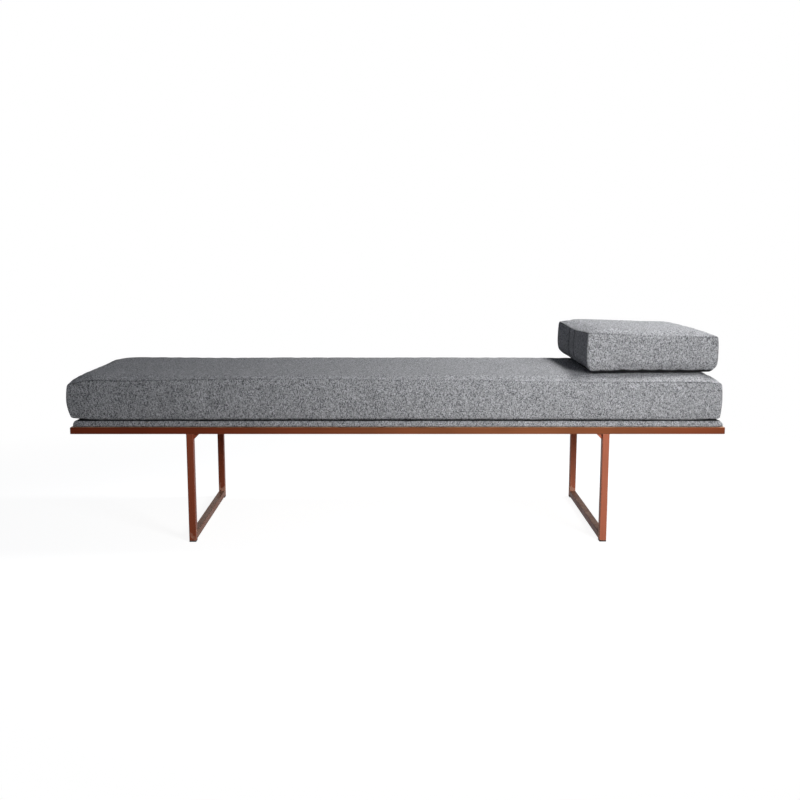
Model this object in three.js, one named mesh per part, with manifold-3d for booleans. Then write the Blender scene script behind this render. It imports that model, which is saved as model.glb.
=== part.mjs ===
// Backless divan: a welded frame of square tube on two leg loops, an upholstered deck pad screwed
// to the frame, and a loose boxed mattress and headrest cushion in zipped covers.
// Millimetres. X runs along the divan, Y from its front to its back and Z up.
// The origin is on the floor, under the middle of the frame.

import * as THREE from 'three';
import { mergeVertices } from 'three/addons/utils/BufferGeometryUtils.js';
import Module from 'manifold-3d';

const wasm = await Module();
wasm.setup();

// The rail frame
const frameLength = 1900;
const frameDepth = 550;
const deckHeight = 343; // top of the rails above the floor
const railSize = 20;
const tubeWall = 1.5;
const tubeCorner = 1.5; // outside corner radius of every tube
const weldGap = 0.3; // between the two faces of a mitre
const bearerWidth = 20;

// The leg loops
const loopSpread = 1230; // over the outer faces of the two loops
const postWidth = 20;
const postDepth = 25;
const floorBarHeight = 20;
const gussetLeg = 18;
const gussetThickness = 4;
const glideHeight = 4;
const glidePlugHeight = 14;
const glideWall = 2;

// The deck pad
const railLedge = 8; // rail left bare outside the pad
const padCorner = 10;
const fabric = 1; // thickness of the cover fabric
const hemWidth = 40; // cover turned in under the board
const boardThickness = 12;
const padFoam = 6;
const padShoulder = 28; // how far in from its edge the pad reaches its full height

// The deck screws
const screwHeadRadius = 4.5;
const screwHeadHeight = 3;
const screwRadius = 2.1;
const screwBite = 8; // length of thread in the board
const screwInset = 80; // from the frame's outer face

// Fits between pieces
const clearance = 0.3;
const overrun = 5; // how far a cutting tool runs past what it cuts

// The loose cushions. Each stands bottomInset in from its widest outline where it meets what it
// lies on, and seamInset in at its top seam. Its top rises by crown within crownReach of the seam.
const wadding = 8; // thickness of the fibre wrap round each core
const wrapJoint = 16; // gap where the edges of the wrap meet, behind the zip
const mattressEndInset = 10; // half of what the mattress is shorter than the frame
const mattressSideInset = 5; // half of what it is narrower
const headrestLength = 384;
const headrestDepth = 460;
const headrestEndInset = 18; // from the frame's right end
const headrestBackInset = 23; // from the frame's back
const mattress = {
  length: frameLength - 2 * mattressEndInset,
  depth: frameDepth - 2 * mattressSideInset,
  side: 112,
  crown: 15,
  crownReach: 100,
  corner: 26,
  bottomInset: 38,
  seamInset: 4,
  drawIn: 3,
  zipInset: 130,
  x: -9,
  y: 0,
  turn: 0,
};
const headrest = {
  length: headrestLength,
  depth: headrestDepth,
  side: 113,
  crown: 9,
  crownReach: 85,
  corner: 24,
  bottomInset: 34,
  seamInset: 3,
  drawIn: 5,
  zipInset: 42,
  x: (frameLength - headrestLength) / 2 - headrestEndInset,
  y: (frameDepth - headrestDepth) / 2 - headrestBackInset,
  turn: THREE.MathUtils.degToRad(1.8),
};
const roundedShare = 0.38; // share of a cushion's side that its rounded bottom edge takes
const widestShare = 0.62; // share of its side up to which it stays widest
const shoulderShares = [0.12, 0.3, 0.55, 1]; // crown rings, as shares of crownReach
const crownPower = 3;

// The zips
const zipHeight = 6;
const sliderLength = 12;
const sliderHeight = 8;
const sliderThickness = 2.4;
const sliderCorner = 3;
const lugLength = 7;
const lugHeight = 3;
const lugThickness = 1.4;

// Counts
const arcSteps = 2; // each stands for two edges in a quarter turn
const cornerSteps = 3;
const edgeSteps = 3;
const screwSides = 12;
const longSteps = 8;
const shortSteps = 4;

// Places that several pieces share
const railBottom = deckHeight - railSize;
const loopX = (loopSpread - postWidth) / 2;
const railCentreY = (frameDepth - railSize) / 2;
const postY = (frameDepth - postDepth) / 2;
const screwY = frameDepth / 2 - screwInset;
const padLength = frameLength - 2 * railLedge;
const padDepth = frameDepth - 2 * railLedge;
const boardBottom = deckHeight + fabric;
const boardTop = boardBottom + boardThickness;
const padTop = boardTop + padFoam + clearance + fabric;
const mattressBottom = padTop + clearance;
const mattressTop = mattressBottom + mattress.side + mattress.crown;

const copper = { color: 0xa3583a, roughness: 0.38, metalness: 0.8 };
const greyCloth = { color: 0x8e8f93, roughness: 0.92, metalness: 0 };
const whiteFibre = { color: 0xe8e6e0, roughness: 0.95, metalness: 0 };
const yellowFoam = { color: 0xd9cfa8, roughness: 0.9, metalness: 0 };
const birchPly = { color: 0xc9a777, roughness: 0.7, metalness: 0 };
const blackPlastic = { color: 0x17171a, roughness: 0.6, metalness: 0 };
const zincSteel = { color: 0xb4b6ba, roughness: 0.35, metalness: 0.9 };
const zipNylon = { color: 0x5f6064, roughness: 0.6, metalness: 0 };

const divan = new THREE.Group();

function addPiece(parent, name, geometry, finish) {
  const mesh = new THREE.Mesh(geometry, new THREE.MeshStandardMaterial(finish));
  mesh.name = name;
  parent.add(mesh);
  return mesh;
}

// A closed mesh as a solid that can be joined or cut, and back again
function toSolid(geometry) {
  const bare = geometry.clone();
  bare.deleteAttribute('normal');
  bare.deleteAttribute('uv');
  const merged = mergeVertices(bare);
  const vertProperties = new Float32Array(merged.attributes.position.array);
  const triVerts = new Uint32Array(merged.index.array);
  return new wasm.Manifold(new wasm.Mesh({ numProp: 3, vertProperties, triVerts }));
}

function toGeometry(solid) {
  const { vertProperties, triVerts } = solid.getMesh();
  const geometry = new THREE.BufferGeometry();
  geometry.setAttribute('position', new THREE.BufferAttribute(vertProperties, 3));
  geometry.setIndex(new THREE.BufferAttribute(triVerts, 1));
  geometry.computeVertexNormals();
  return geometry;
}

function cut(geometry, ...tools) {
  const solid = tools.reduce((rest, tool) => rest.subtract(toSolid(tool)), toSolid(geometry));
  return toGeometry(solid);
}

function join(...geometries) {
  return toGeometry(geometries.map(toSolid).reduce((whole, next) => whole.add(next)));
}

function boxAt(sizeX, sizeY, sizeZ, x, y, z) {
  return new THREE.BoxGeometry(sizeX, sizeY, sizeZ).translate(x, y, z);
}

function uprightCylinder(radius, bottom, top, x, y) {
  const cylinder = new THREE.CylinderGeometry(radius, radius, top - bottom, screwSides);
  return cylinder.rotateX(Math.PI / 2).translate(x, y, (bottom + top) / 2);
}

function roundedRectangle(sizeX, sizeY, radius) {
  const shape = new THREE.Shape();
  const x = sizeX / 2 - radius;
  const y = sizeY / 2 - radius;
  shape.absarc(x, -y, radius, -Math.PI / 2, 0);
  shape.absarc(x, y, radius, 0, Math.PI / 2);
  shape.absarc(-x, y, radius, Math.PI / 2, Math.PI);
  shape.absarc(-x, -y, radius, Math.PI, 1.5 * Math.PI);
  shape.closePath();
  return shape;
}

function extrude(shape, height) {
  return new THREE.ExtrudeGeometry(shape, {
    depth: height,
    bevelEnabled: false,
    curveSegments: arcSteps,
  });
}

// A straight tube centred on the origin, its length along Z
function tube(sizeX, sizeY, length) {
  const bar = extrude(roundedRectangle(sizeX, sizeY, tubeCorner), length).translate(0, 0, -length / 2);
  return cut(bar, boxAt(sizeX - 2 * tubeWall, sizeY - 2 * tubeWall, length + 2 * overrun, 0, 0, 0));
}

const alongX = (geometry) => geometry.rotateY(Math.PI / 2);
const alongY = (geometry) => geometry.rotateX(Math.PI / 2);

// Slants both ends of a rail to 45 degrees, longest at its outer face
function mitreEnds(geometry, along, across, halfLength, outerFace) {
  const position = geometry.attributes.position;
  const setBack = weldGap / Math.SQRT2;
  for (let i = 0; i < position.count; i++) {
    const point = new THREE.Vector3().fromBufferAttribute(position, i);
    const inset = Math.abs(outerFace - point[across]);
    point[along] = Math.sign(point[along]) * (halfLength - inset - setBack);
    position.setXYZ(i, point.x, point.y, point.z);
  }
  geometry.computeVertexNormals();
  return geometry;
}

function addRails() {
  const z = deckHeight - railSize / 2;
  for (const [name, side] of [['rail_front', -1], ['rail_back', 1]]) {
    const rail = alongX(tube(railSize, railSize, frameLength)).translate(0, side * railCentreY, z);
    mitreEnds(rail, 'x', 'y', frameLength / 2, (side * frameDepth) / 2);
    addPiece(divan, name, rail, copper);
  }
  for (const [name, side] of [['rail_left', -1], ['rail_right', 1]]) {
    const x = (side * (frameLength - railSize)) / 2;
    const rail = alongY(tube(railSize, railSize, frameDepth)).translate(x, 0, z);
    mitreEnds(rail, 'y', 'x', frameDepth / 2, (side * frameLength) / 2);
    addPiece(divan, name, rail, copper);
  }
}

const bearers = [['left', -loopX], ['middle', 0], ['right', loopX]];

function addBearers() {
  for (const [place, x] of bearers) {
    const length = frameDepth - 2 * railSize;
    const bar = alongY(tube(bearerWidth, railSize, length)).translate(x, 0, deckHeight - railSize / 2);
    const holes = [-screwY, screwY].map((y) => uprightCylinder(
      screwRadius + clearance,
      railBottom - overrun,
      deckHeight + overrun,
      x,
      y,
    ));
    addPiece(divan, `bearer_${place}`, cut(bar, ...holes), copper);
  }
}

function gusset(side) {
  const plate = new THREE.Shape();
  plate.moveTo(0, 0);
  plate.lineTo(0, -gussetLeg);
  plate.lineTo(gussetLeg, 0);
  plate.closePath();
  const solid = extrude(plate, gussetThickness).translate(0, 0, -gussetThickness / 2);
  solid.rotateX(Math.PI / 2);
  return side < 0 ? solid : solid.rotateZ(Math.PI);
}

function glide() {
  const plugX = postWidth - 2 * (tubeWall + clearance);
  const plugY = postDepth - 2 * (tubeWall + clearance);
  const foot = extrude(roundedRectangle(postWidth, postDepth, tubeCorner), glideHeight);
  const plug = boxAt(plugX, plugY, glidePlugHeight, 0, 0, glidePlugHeight / 2);
  const pocketX = plugX - 2 * glideWall;
  const pocketY = plugY - 2 * glideWall;
  const pocket = boxAt(pocketX, pocketY, glidePlugHeight, 0, 0, glideHeight + glidePlugHeight / 2);
  return cut(join(foot, plug), pocket);
}

function addLegLoops() {
  const postBottom = glideHeight;
  const postLength = railBottom - postBottom;
  for (const [sideName, sideX] of [['left', -1], ['right', 1]]) {
    const x = sideX * loopX;
    for (const [endName, sideY] of [['front', -1], ['back', 1]]) {
      const place = `${endName}_${sideName}`;
      const post = tube(postWidth, postDepth, postLength);
      post.translate(x, sideY * postY, postBottom + postLength / 2);
      addPiece(divan, `post_${place}`, post, copper);
      addPiece(divan, `glide_${place}`, glide().translate(x, sideY * postY, 0), blackPlastic);
      const innerFace = x - (sideX * postWidth) / 2;
      const brace = gusset(sideX).translate(innerFace, sideY * railCentreY, railBottom);
      addPiece(divan, `gusset_${place}`, brace, copper);
    }
    const bar = alongY(tube(postWidth, floorBarHeight, frameDepth - 2 * postDepth));
    bar.translate(x, 0, glideHeight + floorBarHeight / 2);
    addPiece(divan, `floor_bar_${sideName}`, bar, copper);
  }
}

// Points of a rectangle with rounded corners, counter-clockwise from the front right corner. Each
// side but the back one is drawn in towards its middle.
function ring(halfX, halfY, radius, z, drawIn = 0) {
  const corners = [
    { sideX: 1, sideY: -1, steps: shortSteps, drawn: 1 },
    { sideX: 1, sideY: 1, steps: longSteps, drawn: 0 },
    { sideX: -1, sideY: 1, steps: shortSteps, drawn: 1 },
    { sideX: -1, sideY: -1, steps: longSteps, drawn: 1 },
  ];
  const points = [];
  corners.forEach(({ sideX, sideY, steps, drawn }, turn) => {
    const start = (turn - 1) * (Math.PI / 2);
    for (let i = 0; i <= cornerSteps; i++) {
      const angle = start + (i / cornerSteps) * (Math.PI / 2);
      const x = sideX * (halfX - radius) + radius * Math.cos(angle);
      const y = sideY * (halfY - radius) + radius * Math.sin(angle);
      points.push(new THREE.Vector3(x, y, z));
    }
    const next = corners[(turn + 1) % corners.length];
    const facing = start + Math.PI / 2;
    const outward = new THREE.Vector3(Math.cos(facing), Math.sin(facing), 0);
    const from = points.at(-1).clone();
    const to = new THREE.Vector3(next.sideX * (halfX - radius), next.sideY * (halfY - radius), z);
    to.addScaledVector(outward, radius);
    for (let i = 1; i < steps; i++) {
      const share = i / steps;
      const pull = drawn * drawIn * Math.sin(Math.PI * share);
      points.push(from.clone().lerp(to, share).addScaledVector(outward, -pull));
    }
  });
  return points;
}

// A closed skin through rings of equally many points, from the lowest to the last, with flat ends
function loft(rings) {
  const around = rings[0].length;
  const points = rings.flat();
  const faces = [];
  for (let level = 0; level + 1 < rings.length; level++) {
    for (let i = 0; i < around; i++) {
      const a = level * around + i;
      const b = level * around + ((i + 1) % around);
      faces.push(a, b, b + around, a, b + around, a + around);
    }
  }
  for (const [level, upwards] of [[0, false], [rings.length - 1, true]]) {
    const centre = new THREE.Vector3();
    rings[level].forEach((point) => centre.add(point));
    points.push(centre.divideScalar(around));
    for (let i = 0; i < around; i++) {
      const a = level * around + i;
      const b = level * around + ((i + 1) % around);
      faces.push(points.length - 1, upwards ? a : b, upwards ? b : a);
    }
  }
  const geometry = new THREE.BufferGeometry().setFromPoints(points);
  geometry.setIndex(faces);
  geometry.computeVertexNormals();
  return geometry;
}

// The outline of the board and its foam, grown by a margin
function padOutline(margin, inset, z) {
  const halfX = padLength / 2 - fabric - clearance + margin - inset;
  const halfY = padDepth / 2 - fabric - clearance + margin - inset;
  const radius = padCorner + margin;
  return ring(halfX, halfY, Math.max(radius - inset, radius / 2), z);
}

// The pad's form stands upright beside the board and rounds over the foam
function padForm(margin, bottom) {
  const rings = [padOutline(margin, 0, bottom)];
  for (let i = bottom < boardTop ? 0 : 1; i <= edgeSteps; i++) {
    const angle = (i / edgeSteps) * (Math.PI / 2);
    const inset = padShoulder * (1 - Math.cos(angle));
    rings.push(padOutline(margin, inset, boardTop + (padFoam + margin) * Math.sin(angle)));
  }
  return loft(rings);
}

function addDeckPad() {
  const board = loft([padOutline(0, 0, boardBottom), padOutline(0, 0, boardTop)]);
  const holes = [];
  for (const [place, x] of bearers) {
    for (const [endName, y] of [['front', -screwY], ['back', screwY]]) {
      const tip = boardBottom + screwBite;
      holes.push(uprightCylinder(screwRadius + clearance, boardBottom - overrun, tip + clearance, x, y));
      const headTop = railBottom;
      const head = uprightCylinder(screwHeadRadius, headTop - screwHeadHeight, headTop, x, y);
      const shank = uprightCylinder(screwRadius, headTop - screwHeadHeight / 2, tip, x, y);
      addPiece(divan, `deck_screw_${endName}_${place}`, join(head, shank), zincSteel);
    }
  }
  addPiece(divan, 'deck_board', cut(board, ...holes), birchPly);
  addPiece(divan, 'deck_foam', padForm(0, boardTop), yellowFoam);

  const openingX = padLength - 2 * hemWidth;
  const openingY = padDepth - 2 * hemWidth;
  const opening = boxAt(openingX, openingY, 2 * overrun, 0, 0, deckHeight);
  const cover = cut(padForm(clearance + fabric, deckHeight), padForm(clearance, boardBottom), opening);
  addPiece(divan, 'deck_cover', cover, greyCloth);
}

// A boxed cushion's outside, or the space inside it at a depth below its skin. It stands on z = 0.
function cushionForm(cushion, depth) {
  const halfX = cushion.length / 2 - depth;
  const halfY = cushion.depth / 2 - depth;
  const side = cushion.side - 2 * depth;
  const radius = cushion.corner - depth;
  const roundedHeight = roundedShare * side;
  const widestHeight = widestShare * side;
  const level = (inset, height, drawIn) => ring(
    halfX - inset,
    halfY - inset,
    Math.max(radius - inset, radius / 2),
    depth + height,
    drawIn,
  );
  const rings = [];
  for (let i = 0; i <= edgeSteps; i++) {
    const angle = (i / edgeSteps) * (Math.PI / 2);
    const inset = cushion.bottomInset * (1 - Math.sin(angle));
    const drawIn = cushion.drawIn * Math.sin(angle);
    rings.push(level(inset, roundedHeight * (1 - Math.cos(angle)), drawIn));
  }
  rings.push(level(0, widestHeight, cushion.drawIn));
  rings.push(level(cushion.seamInset, side, cushion.drawIn));
  for (const share of shoulderShares) {
    const rise = cushion.crown * (1 - (1 - share) ** crownPower);
    const inset = cushion.seamInset + share * cushion.crownReach;
    rings.push(level(inset, side + rise, cushion.drawIn * (1 - share)));
  }
  return loft(rings);
}

function slider() {
  const outline = roundedRectangle(sliderLength, sliderHeight, sliderCorner);
  const body = alongY(extrude(outline, sliderThickness));
  const lug = boxAt(lugLength, 2 * lugThickness, lugHeight, 0, -sliderThickness, 0);
  return join(body, lug).rotateZ(Math.PI);
}

// A cushion's cover, fibre wrap, foam core and zip, in a group that stands on its underside
function addCushion(name, cushion, bottom) {
  const group = new THREE.Group();
  group.position.set(cushion.x, cushion.y, bottom);
  group.rotation.z = cushion.turn;
  divan.add(group);

  const zipLength = cushion.length - 2 * cushion.zipInset;
  const zipY = cushion.depth / 2;
  const zipZ = cushion.side / 2;
  const slotLength = zipLength + 2 * clearance;
  const slot = boxAt(slotLength, 2 * overrun, zipHeight + 2 * clearance, 0, zipY, zipZ);
  const wrapDepth = fabric + clearance;
  const coreDepth = wrapDepth + wadding + clearance;
  const joint = boxAt(zipLength, 2 * (coreDepth + overrun), wrapJoint, 0, zipY, zipZ);

  const cover = cut(cushionForm(cushion, 0), cushionForm(cushion, fabric), slot);
  addPiece(group, `${name}_cover`, cover, greyCloth);
  const wrap = cut(cushionForm(cushion, wrapDepth), cushionForm(cushion, wrapDepth + wadding), joint);
  addPiece(group, `${name}_wadding`, wrap, whiteFibre);
  addPiece(group, `${name}_core`, cushionForm(cushion, coreDepth), yellowFoam);

  const chain = boxAt(zipLength, fabric, zipHeight, 0, zipY - fabric / 2, zipZ);
  addPiece(group, `${name}_zip`, chain, zipNylon);
  const closedX = (sliderLength - zipLength) / 2;
  const runner = slider().translate(closedX, zipY + clearance, zipZ);
  addPiece(group, `${name}_zip_slider`, runner, zincSteel);
}

addRails();
addBearers();
addLegLoops();
addDeckPad();
addCushion('mattress', mattress, mattressBottom);
addCushion('headrest', headrest, mattressTop + clearance);

export default divan;
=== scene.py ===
# %% [markdown]
# # A backless divan, dressed for its picture
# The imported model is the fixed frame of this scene. Every steel tube, glide and board is already
# there at its real size, so this file only adds what a drawing of the construction leaves out:
# the finish of each surface and the soft pieces. Nothing that was loaded is moved.

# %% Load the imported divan
import math

import bmesh
import bpy
import numpy as np
from mathutils import Matrix, Vector, noise


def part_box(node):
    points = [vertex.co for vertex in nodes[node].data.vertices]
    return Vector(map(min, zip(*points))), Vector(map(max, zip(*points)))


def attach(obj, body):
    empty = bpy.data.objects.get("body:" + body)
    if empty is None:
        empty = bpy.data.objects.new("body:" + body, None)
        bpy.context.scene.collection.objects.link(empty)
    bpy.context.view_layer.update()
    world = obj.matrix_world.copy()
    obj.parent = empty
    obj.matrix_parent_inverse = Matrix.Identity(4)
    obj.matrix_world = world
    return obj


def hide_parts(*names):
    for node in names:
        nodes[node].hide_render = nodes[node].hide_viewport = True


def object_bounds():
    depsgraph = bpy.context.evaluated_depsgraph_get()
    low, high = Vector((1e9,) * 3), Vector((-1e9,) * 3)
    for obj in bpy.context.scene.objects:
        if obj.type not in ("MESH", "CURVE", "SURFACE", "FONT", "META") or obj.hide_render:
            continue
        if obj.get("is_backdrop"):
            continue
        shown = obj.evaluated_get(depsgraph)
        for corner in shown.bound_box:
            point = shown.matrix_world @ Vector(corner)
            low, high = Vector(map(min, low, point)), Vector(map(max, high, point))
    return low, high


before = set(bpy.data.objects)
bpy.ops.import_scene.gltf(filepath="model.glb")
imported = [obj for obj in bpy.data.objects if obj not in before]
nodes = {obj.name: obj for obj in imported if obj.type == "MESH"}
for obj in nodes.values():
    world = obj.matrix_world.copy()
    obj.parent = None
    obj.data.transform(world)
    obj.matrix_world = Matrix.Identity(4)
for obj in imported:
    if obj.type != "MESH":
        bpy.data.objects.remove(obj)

scene = bpy.context.scene
cad_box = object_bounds()
print("size in metres", [round(v, 3) for v in cad_box[1] - cad_box[0]])


def add_object(name, data):
    made = bpy.data.objects.new(name, data)
    scene.collection.objects.link(made)
    return made


def new_mesh(name, points, edges=(), faces=()):
    mesh = bpy.data.meshes.new(name)
    mesh.from_pydata(points, edges, faces)
    return mesh


# %% [markdown]
# The camera comes first, because every later choice is judged through it. It stands about 3.2 m
# in front of the divan, a little above table height, and looks slightly down. The lens is
# written from the picture's focal length in pixels, which a line fit to the straight edges of
# the steel frame gives directly.

# %% Camera
PICTURE_WIDTH = 800  # pixels
FOCAL_LENGTH = 1034.6  # pixels
LOOK_DOWN = 0.1558  # radians

camera = add_object("camera", bpy.data.cameras.new("camera"))
camera.data.lens = FOCAL_LENGTH / PICTURE_WIDTH * camera.data.sensor_width
camera.location = (-0.0134, -3.2263, 0.8870)
camera.rotation_euler = (math.pi / 2 - LOOK_DOWN, -0.001, -0.0062)
scene.camera = camera
print("lens", round(camera.data.lens, 2), "mm")

# %% [markdown]
# Two soft lamps stand near the right end of the divan. One hangs over it and lights the tops, and
# its place gives the steep shadow beside the headrest. The other stands low in front and lights
# the faces. Both are near, so the light falls off along the divan, as in the picture, where the
# left end is clearly dimmer. The world adds a weak even light. White comes from what the camera
# and the glossy rays see, and not from more light on the object.

# %% Lamps and world
def add_lamp(name, place, aim, size, power, spread):
    lamp = add_object(name, bpy.data.lights.new(name, "AREA"))
    lamp.data.shape = "DISK"
    lamp.data.size = size
    lamp.data.energy = power
    lamp.data.spread = spread
    lamp.location = place
    lamp.rotation_euler = (Vector(aim) - Vector(place)).to_track_quat("-Z", "Y").to_euler()
    lamp.visible_camera = False


add_lamp("front_light", (1.3, -2.2, 1.1), (0.3, -0.27, 0.45), 0.9, 13.1, spread=1.7)
add_lamp("top_light", (1.40, 0.36, 2.4), (1.1, 0.05, 0.4), 0.6, 20.6, spread=2.1)

WORLD_LEVEL = 0.05
WORLD_TINT = (0.82, 0.95, 1.25, 1)
world = bpy.data.worlds.new("studio")
world.use_nodes = True
scene.world = world
scene.view_settings.view_transform = "Standard"

# %% [markdown]
# Materials and patterns are built from nodes. Three small classes keep that readable. The first
# adds nodes to a tree, fills or links their sockets, and does sums. The second starts a node group
# with named inputs and outputs, so that an effect is built once and used with different values.
# The third starts a material.

# %% Helpers for node trees
class Nodes:
    """A node tree with short ways to add to it. Most give back the new node's first result."""

    def __init__(self, tree):
        self.tree = tree
        tree.nodes.clear()

    def add(self, kind, sockets=None, **settings):
        """Adds a node. Each socket takes a value, or the socket of another node as a link."""
        made = self.tree.nodes.new(kind)
        for name, value in settings.items():
            setattr(made, name, value)
        for socket, value in (sockets or {}).items():
            if isinstance(value, bpy.types.NodeSocket):
                self.tree.links.new(value, made.inputs[socket])
            else:
                made.inputs[socket].default_value = value
        return made

    def get(self, kind, sockets=None, output=0, **settings):
        return self.add(kind, sockets, **settings).outputs[output]

    def maths(self, operation, *values):
        return self.get("ShaderNodeMath", dict(enumerate(values)), operation=operation)

    def times(self, first, second):
        return self.maths("MULTIPLY", first, second)

    def less(self, first, second):
        return self.maths("SUBTRACT", first, second)

    def scaled(self, value, factor, added):
        """A value times a factor, with something added."""
        return self.maths("MULTIPLY_ADD", value, factor, added)

    def remap(self, value, low, high, new_low=0.0, new_high=1.0):
        return self.get("ShaderNodeMapRange", {0: value, 1: low, 2: high, 3: new_low, 4: new_high})

    def mix(self, share, first, second):
        return self.get("ShaderNodeMix", {0: share, 2: first, 3: second})

    def mix_colours(self, share, first, second):
        return self.get("ShaderNodeMix", {0: share, 6: first, 7: second}, 2, data_type="RGBA")

    def vector(self, operation, sockets, output=0):
        return self.get("ShaderNodeVectorMath", sockets, output, operation=operation)

    def combine(self, x=0.0, y=0.0, z=0.0):
        return self.get("ShaderNodeCombineXYZ", {0: x, 1: y, 2: z})

    def split(self, vector):
        return self.add("ShaderNodeSeparateXYZ", {0: vector}).outputs

    def noise(self, vector, scale, detail=2.0):
        return self.get("ShaderNodeTexNoise", {"Vector": vector, "Scale": scale, "Detail": detail})

    def on_object(self):
        return self.get("ShaderNodeTexCoord", output="Object")

    def stretch(self, vector, scale):
        return self.get("ShaderNodeMapping", {"Vector": vector, "Scale": scale})

    def group(self, pattern, sockets):
        return self.add("ShaderNodeGroup", sockets, node_tree=pattern.tree).outputs


class Pattern(Nodes):
    """A node group. Each of its sockets is named with its default, or with its kind."""

    KINDS = {float: "Float", int: "Int", tuple: "Color"}

    def __init__(self, name, inputs, outputs, kind="ShaderNodeTree"):
        super().__init__(bpy.data.node_groups.new(name, kind))
        for in_out, sockets in (("INPUT", inputs), ("OUTPUT", outputs)):
            for label, value in sockets.items():
                told = isinstance(value, str)
                socket_type = "NodeSocket" + (value if told else self.KINDS[type(value)])
                socket = self.tree.interface.new_socket(label, in_out=in_out, socket_type=socket_type)
                if not told:
                    socket.default_value = value
        self.given = self.tree.nodes.new("NodeGroupInput").outputs
        self.result = self.tree.nodes.new("NodeGroupOutput").inputs

    def give(self, **results):
        for label, socket in results.items():
            self.tree.links.new(socket, self.result[label])
        print(self.tree.name, "has", len(self.tree.nodes), "nodes")


class Finish(Nodes):
    """A material with a Principled shader, whose plain numbers are set on its own sockets."""

    def __init__(self, name, constants):
        self.material = bpy.data.materials.new(name)
        self.material.use_nodes = True
        super().__init__(self.material.node_tree)
        self.shader = self.add("ShaderNodeBsdfPrincipled", constants)
        self.add("ShaderNodeOutputMaterial", {"Surface": self.shader.outputs["BSDF"]})

    def wear(self, colour, roughness, height, distance, **relief):
        """Links what varies over the surface to the shader, and gives back the material."""
        bump = self.get("ShaderNodeBump", {"Height": height, "Distance": distance, **relief})
        for label, socket in (("Base Color", colour), ("Roughness", roughness), ("Normal", bump)):
            self.tree.links.new(socket, self.shader.inputs[label])
        return self.material


# %% [markdown]
# The world is white where the camera, a polished tube or anything clear looks at it, and dim
# where it only lights the cloth. The floor does the same: it takes the divan's soft shadow as
# any matt floor would, and a little glow that only the camera sees lifts it to white round the
# shadow.

# %% White surroundings
def seen_mask(tree):
    """1 for the rays that look at a surface, 0 for those that carry light to it."""
    path = tree.add("ShaderNodeLightPath").outputs
    seen = tree.maths("MAXIMUM", path["Is Camera Ray"], path["Is Glossy Ray"])
    return tree.maths("MAXIMUM", seen, path["Is Transmission Ray"])


sky = Nodes(world.node_tree)
looked_at = seen_mask(sky)
backdrop = {
    "Color": sky.mix_colours(looked_at, WORLD_TINT, (1, 1, 1, 1)),
    "Strength": sky.mix(looked_at, WORLD_LEVEL, 1.0),
}
sky.add("ShaderNodeOutputWorld", {"Surface": sky.get("ShaderNodeBackground", backdrop)})

FLOOR_SIZE = 14.0
FLOOR_HEIGHT = -0.0002
FLOOR_COLOUR = (0.34, 0.34, 0.34, 1)
FLOOR_GLOW = 0.92
SHADOW_OVAL = (0.6, 1.0, 1.0)
SHADOW_REACH = (0.9, 1.7)  # from where to where the floor fades to white
corners = [(x * FLOOR_SIZE, y * FLOOR_SIZE, FLOOR_HEIGHT) for x, y in ((-1, -1), (1, -1), (1, 1), (-1, 1))]
floor = add_object("floor", new_mesh("floor", corners, faces=[(0, 1, 2, 3)]))
floor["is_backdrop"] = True

floor_material = bpy.data.materials.new("pale_floor")
floor_material.use_nodes = True
pale = Nodes(floor_material.node_tree)
seen = seen_mask(pale)
matt = pale.get("ShaderNodeBsdfDiffuse", {"Color": FLOOR_COLOUR})
glow = pale.get("ShaderNodeEmission", {"Strength": pale.times(seen, FLOOR_GLOW)})
both = pale.get("ShaderNodeAddShader", {0: matt, 1: glow})
away = pale.vector("LENGTH", {0: pale.stretch(pale.on_object(), SHADOW_OVAL)}, "Value")
far = pale.times(pale.remap(away, *SHADOW_REACH), seen)
white = pale.get("ShaderNodeEmission", {"Strength": 1.0})
surface = pale.get("ShaderNodeMixShader", {0: far, 1: both, 2: white})
pale.add("ShaderNodeOutputMaterial", {"Surface": surface})
floor.data.materials.append(floor_material)
print("floor", 2 * FLOOR_SIZE, "m wide, white from", SHADOW_REACH[1], "m")

# %% [markdown]
# The divan's cloth is a grey melange: light and dark yarns, spun unevenly and woven one over one.
# From a step away it reads as salt and pepper. The group below weaves it for real. It finds the
# warp and the weft thread under each point, gives each thread a tone that drifts along its
# length, and puts the warp on top in every second square. The same squares give the height, and
# the colour is painted darker in the dips between threads and lighter on their crowns: painted
# shade and painted highlight on the weave's relief.

# %% Melange weave
weave = Pattern(
    "melange_weave",
    {
        "Cloth": "Vector",
        "Thread Pitch": 0.0025,
        "Slub Length": 0.0028,
        "Contrast": 1.0,
        "Dark Yarn": (0.1, 0.1, 0.1, 1),
        "Light Yarn": (0.6, 0.6, 0.6, 1),
    },
    {"Color": "Color", "Height": "Float", "Roughness": "Float"},
)
given = weave.given
place = weave.split(given["Cloth"])
threads = [weave.maths("DIVIDE", place[axis], given["Thread Pitch"]) for axis in (0, 1)]
number = [weave.maths("FLOOR", value) for value in threads]
share = [weave.maths("FRACT", value) for value in threads]
pair = weave.times(weave.maths("ADD", *number), 0.5)
warp_on_top = weave.maths("GREATER_THAN", weave.maths("FRACT", pair), 0.25)


def yarn_tone(thread_number, distance, slowness, seed):
    """The tone of a thread: it changes from thread to thread and drifts along each one."""
    step = weave.maths("DIVIDE", distance, weave.times(given["Slub Length"], slowness))
    slub = weave.combine(weave.times(thread_number, 5.371), step, seed)
    drift = weave.combine(weave.times(thread_number, 0.37), weave.times(step, 0.06), seed + 7.0)
    return weave.mix(0.05, weave.noise(slub, 1.0), weave.noise(drift, 1.0))


def thread_height(across, along):
    """Round across the thread, and dipping under its neighbours at each end of the square."""
    centred = weave.scaled(across, 2.0, -1.0)
    rounded = weave.less(1.0, weave.times(centred, centred))
    dip = weave.maths("SINE", weave.times(along, math.pi))
    return weave.times(rounded, weave.scaled(dip, 0.6, 0.4))


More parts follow.
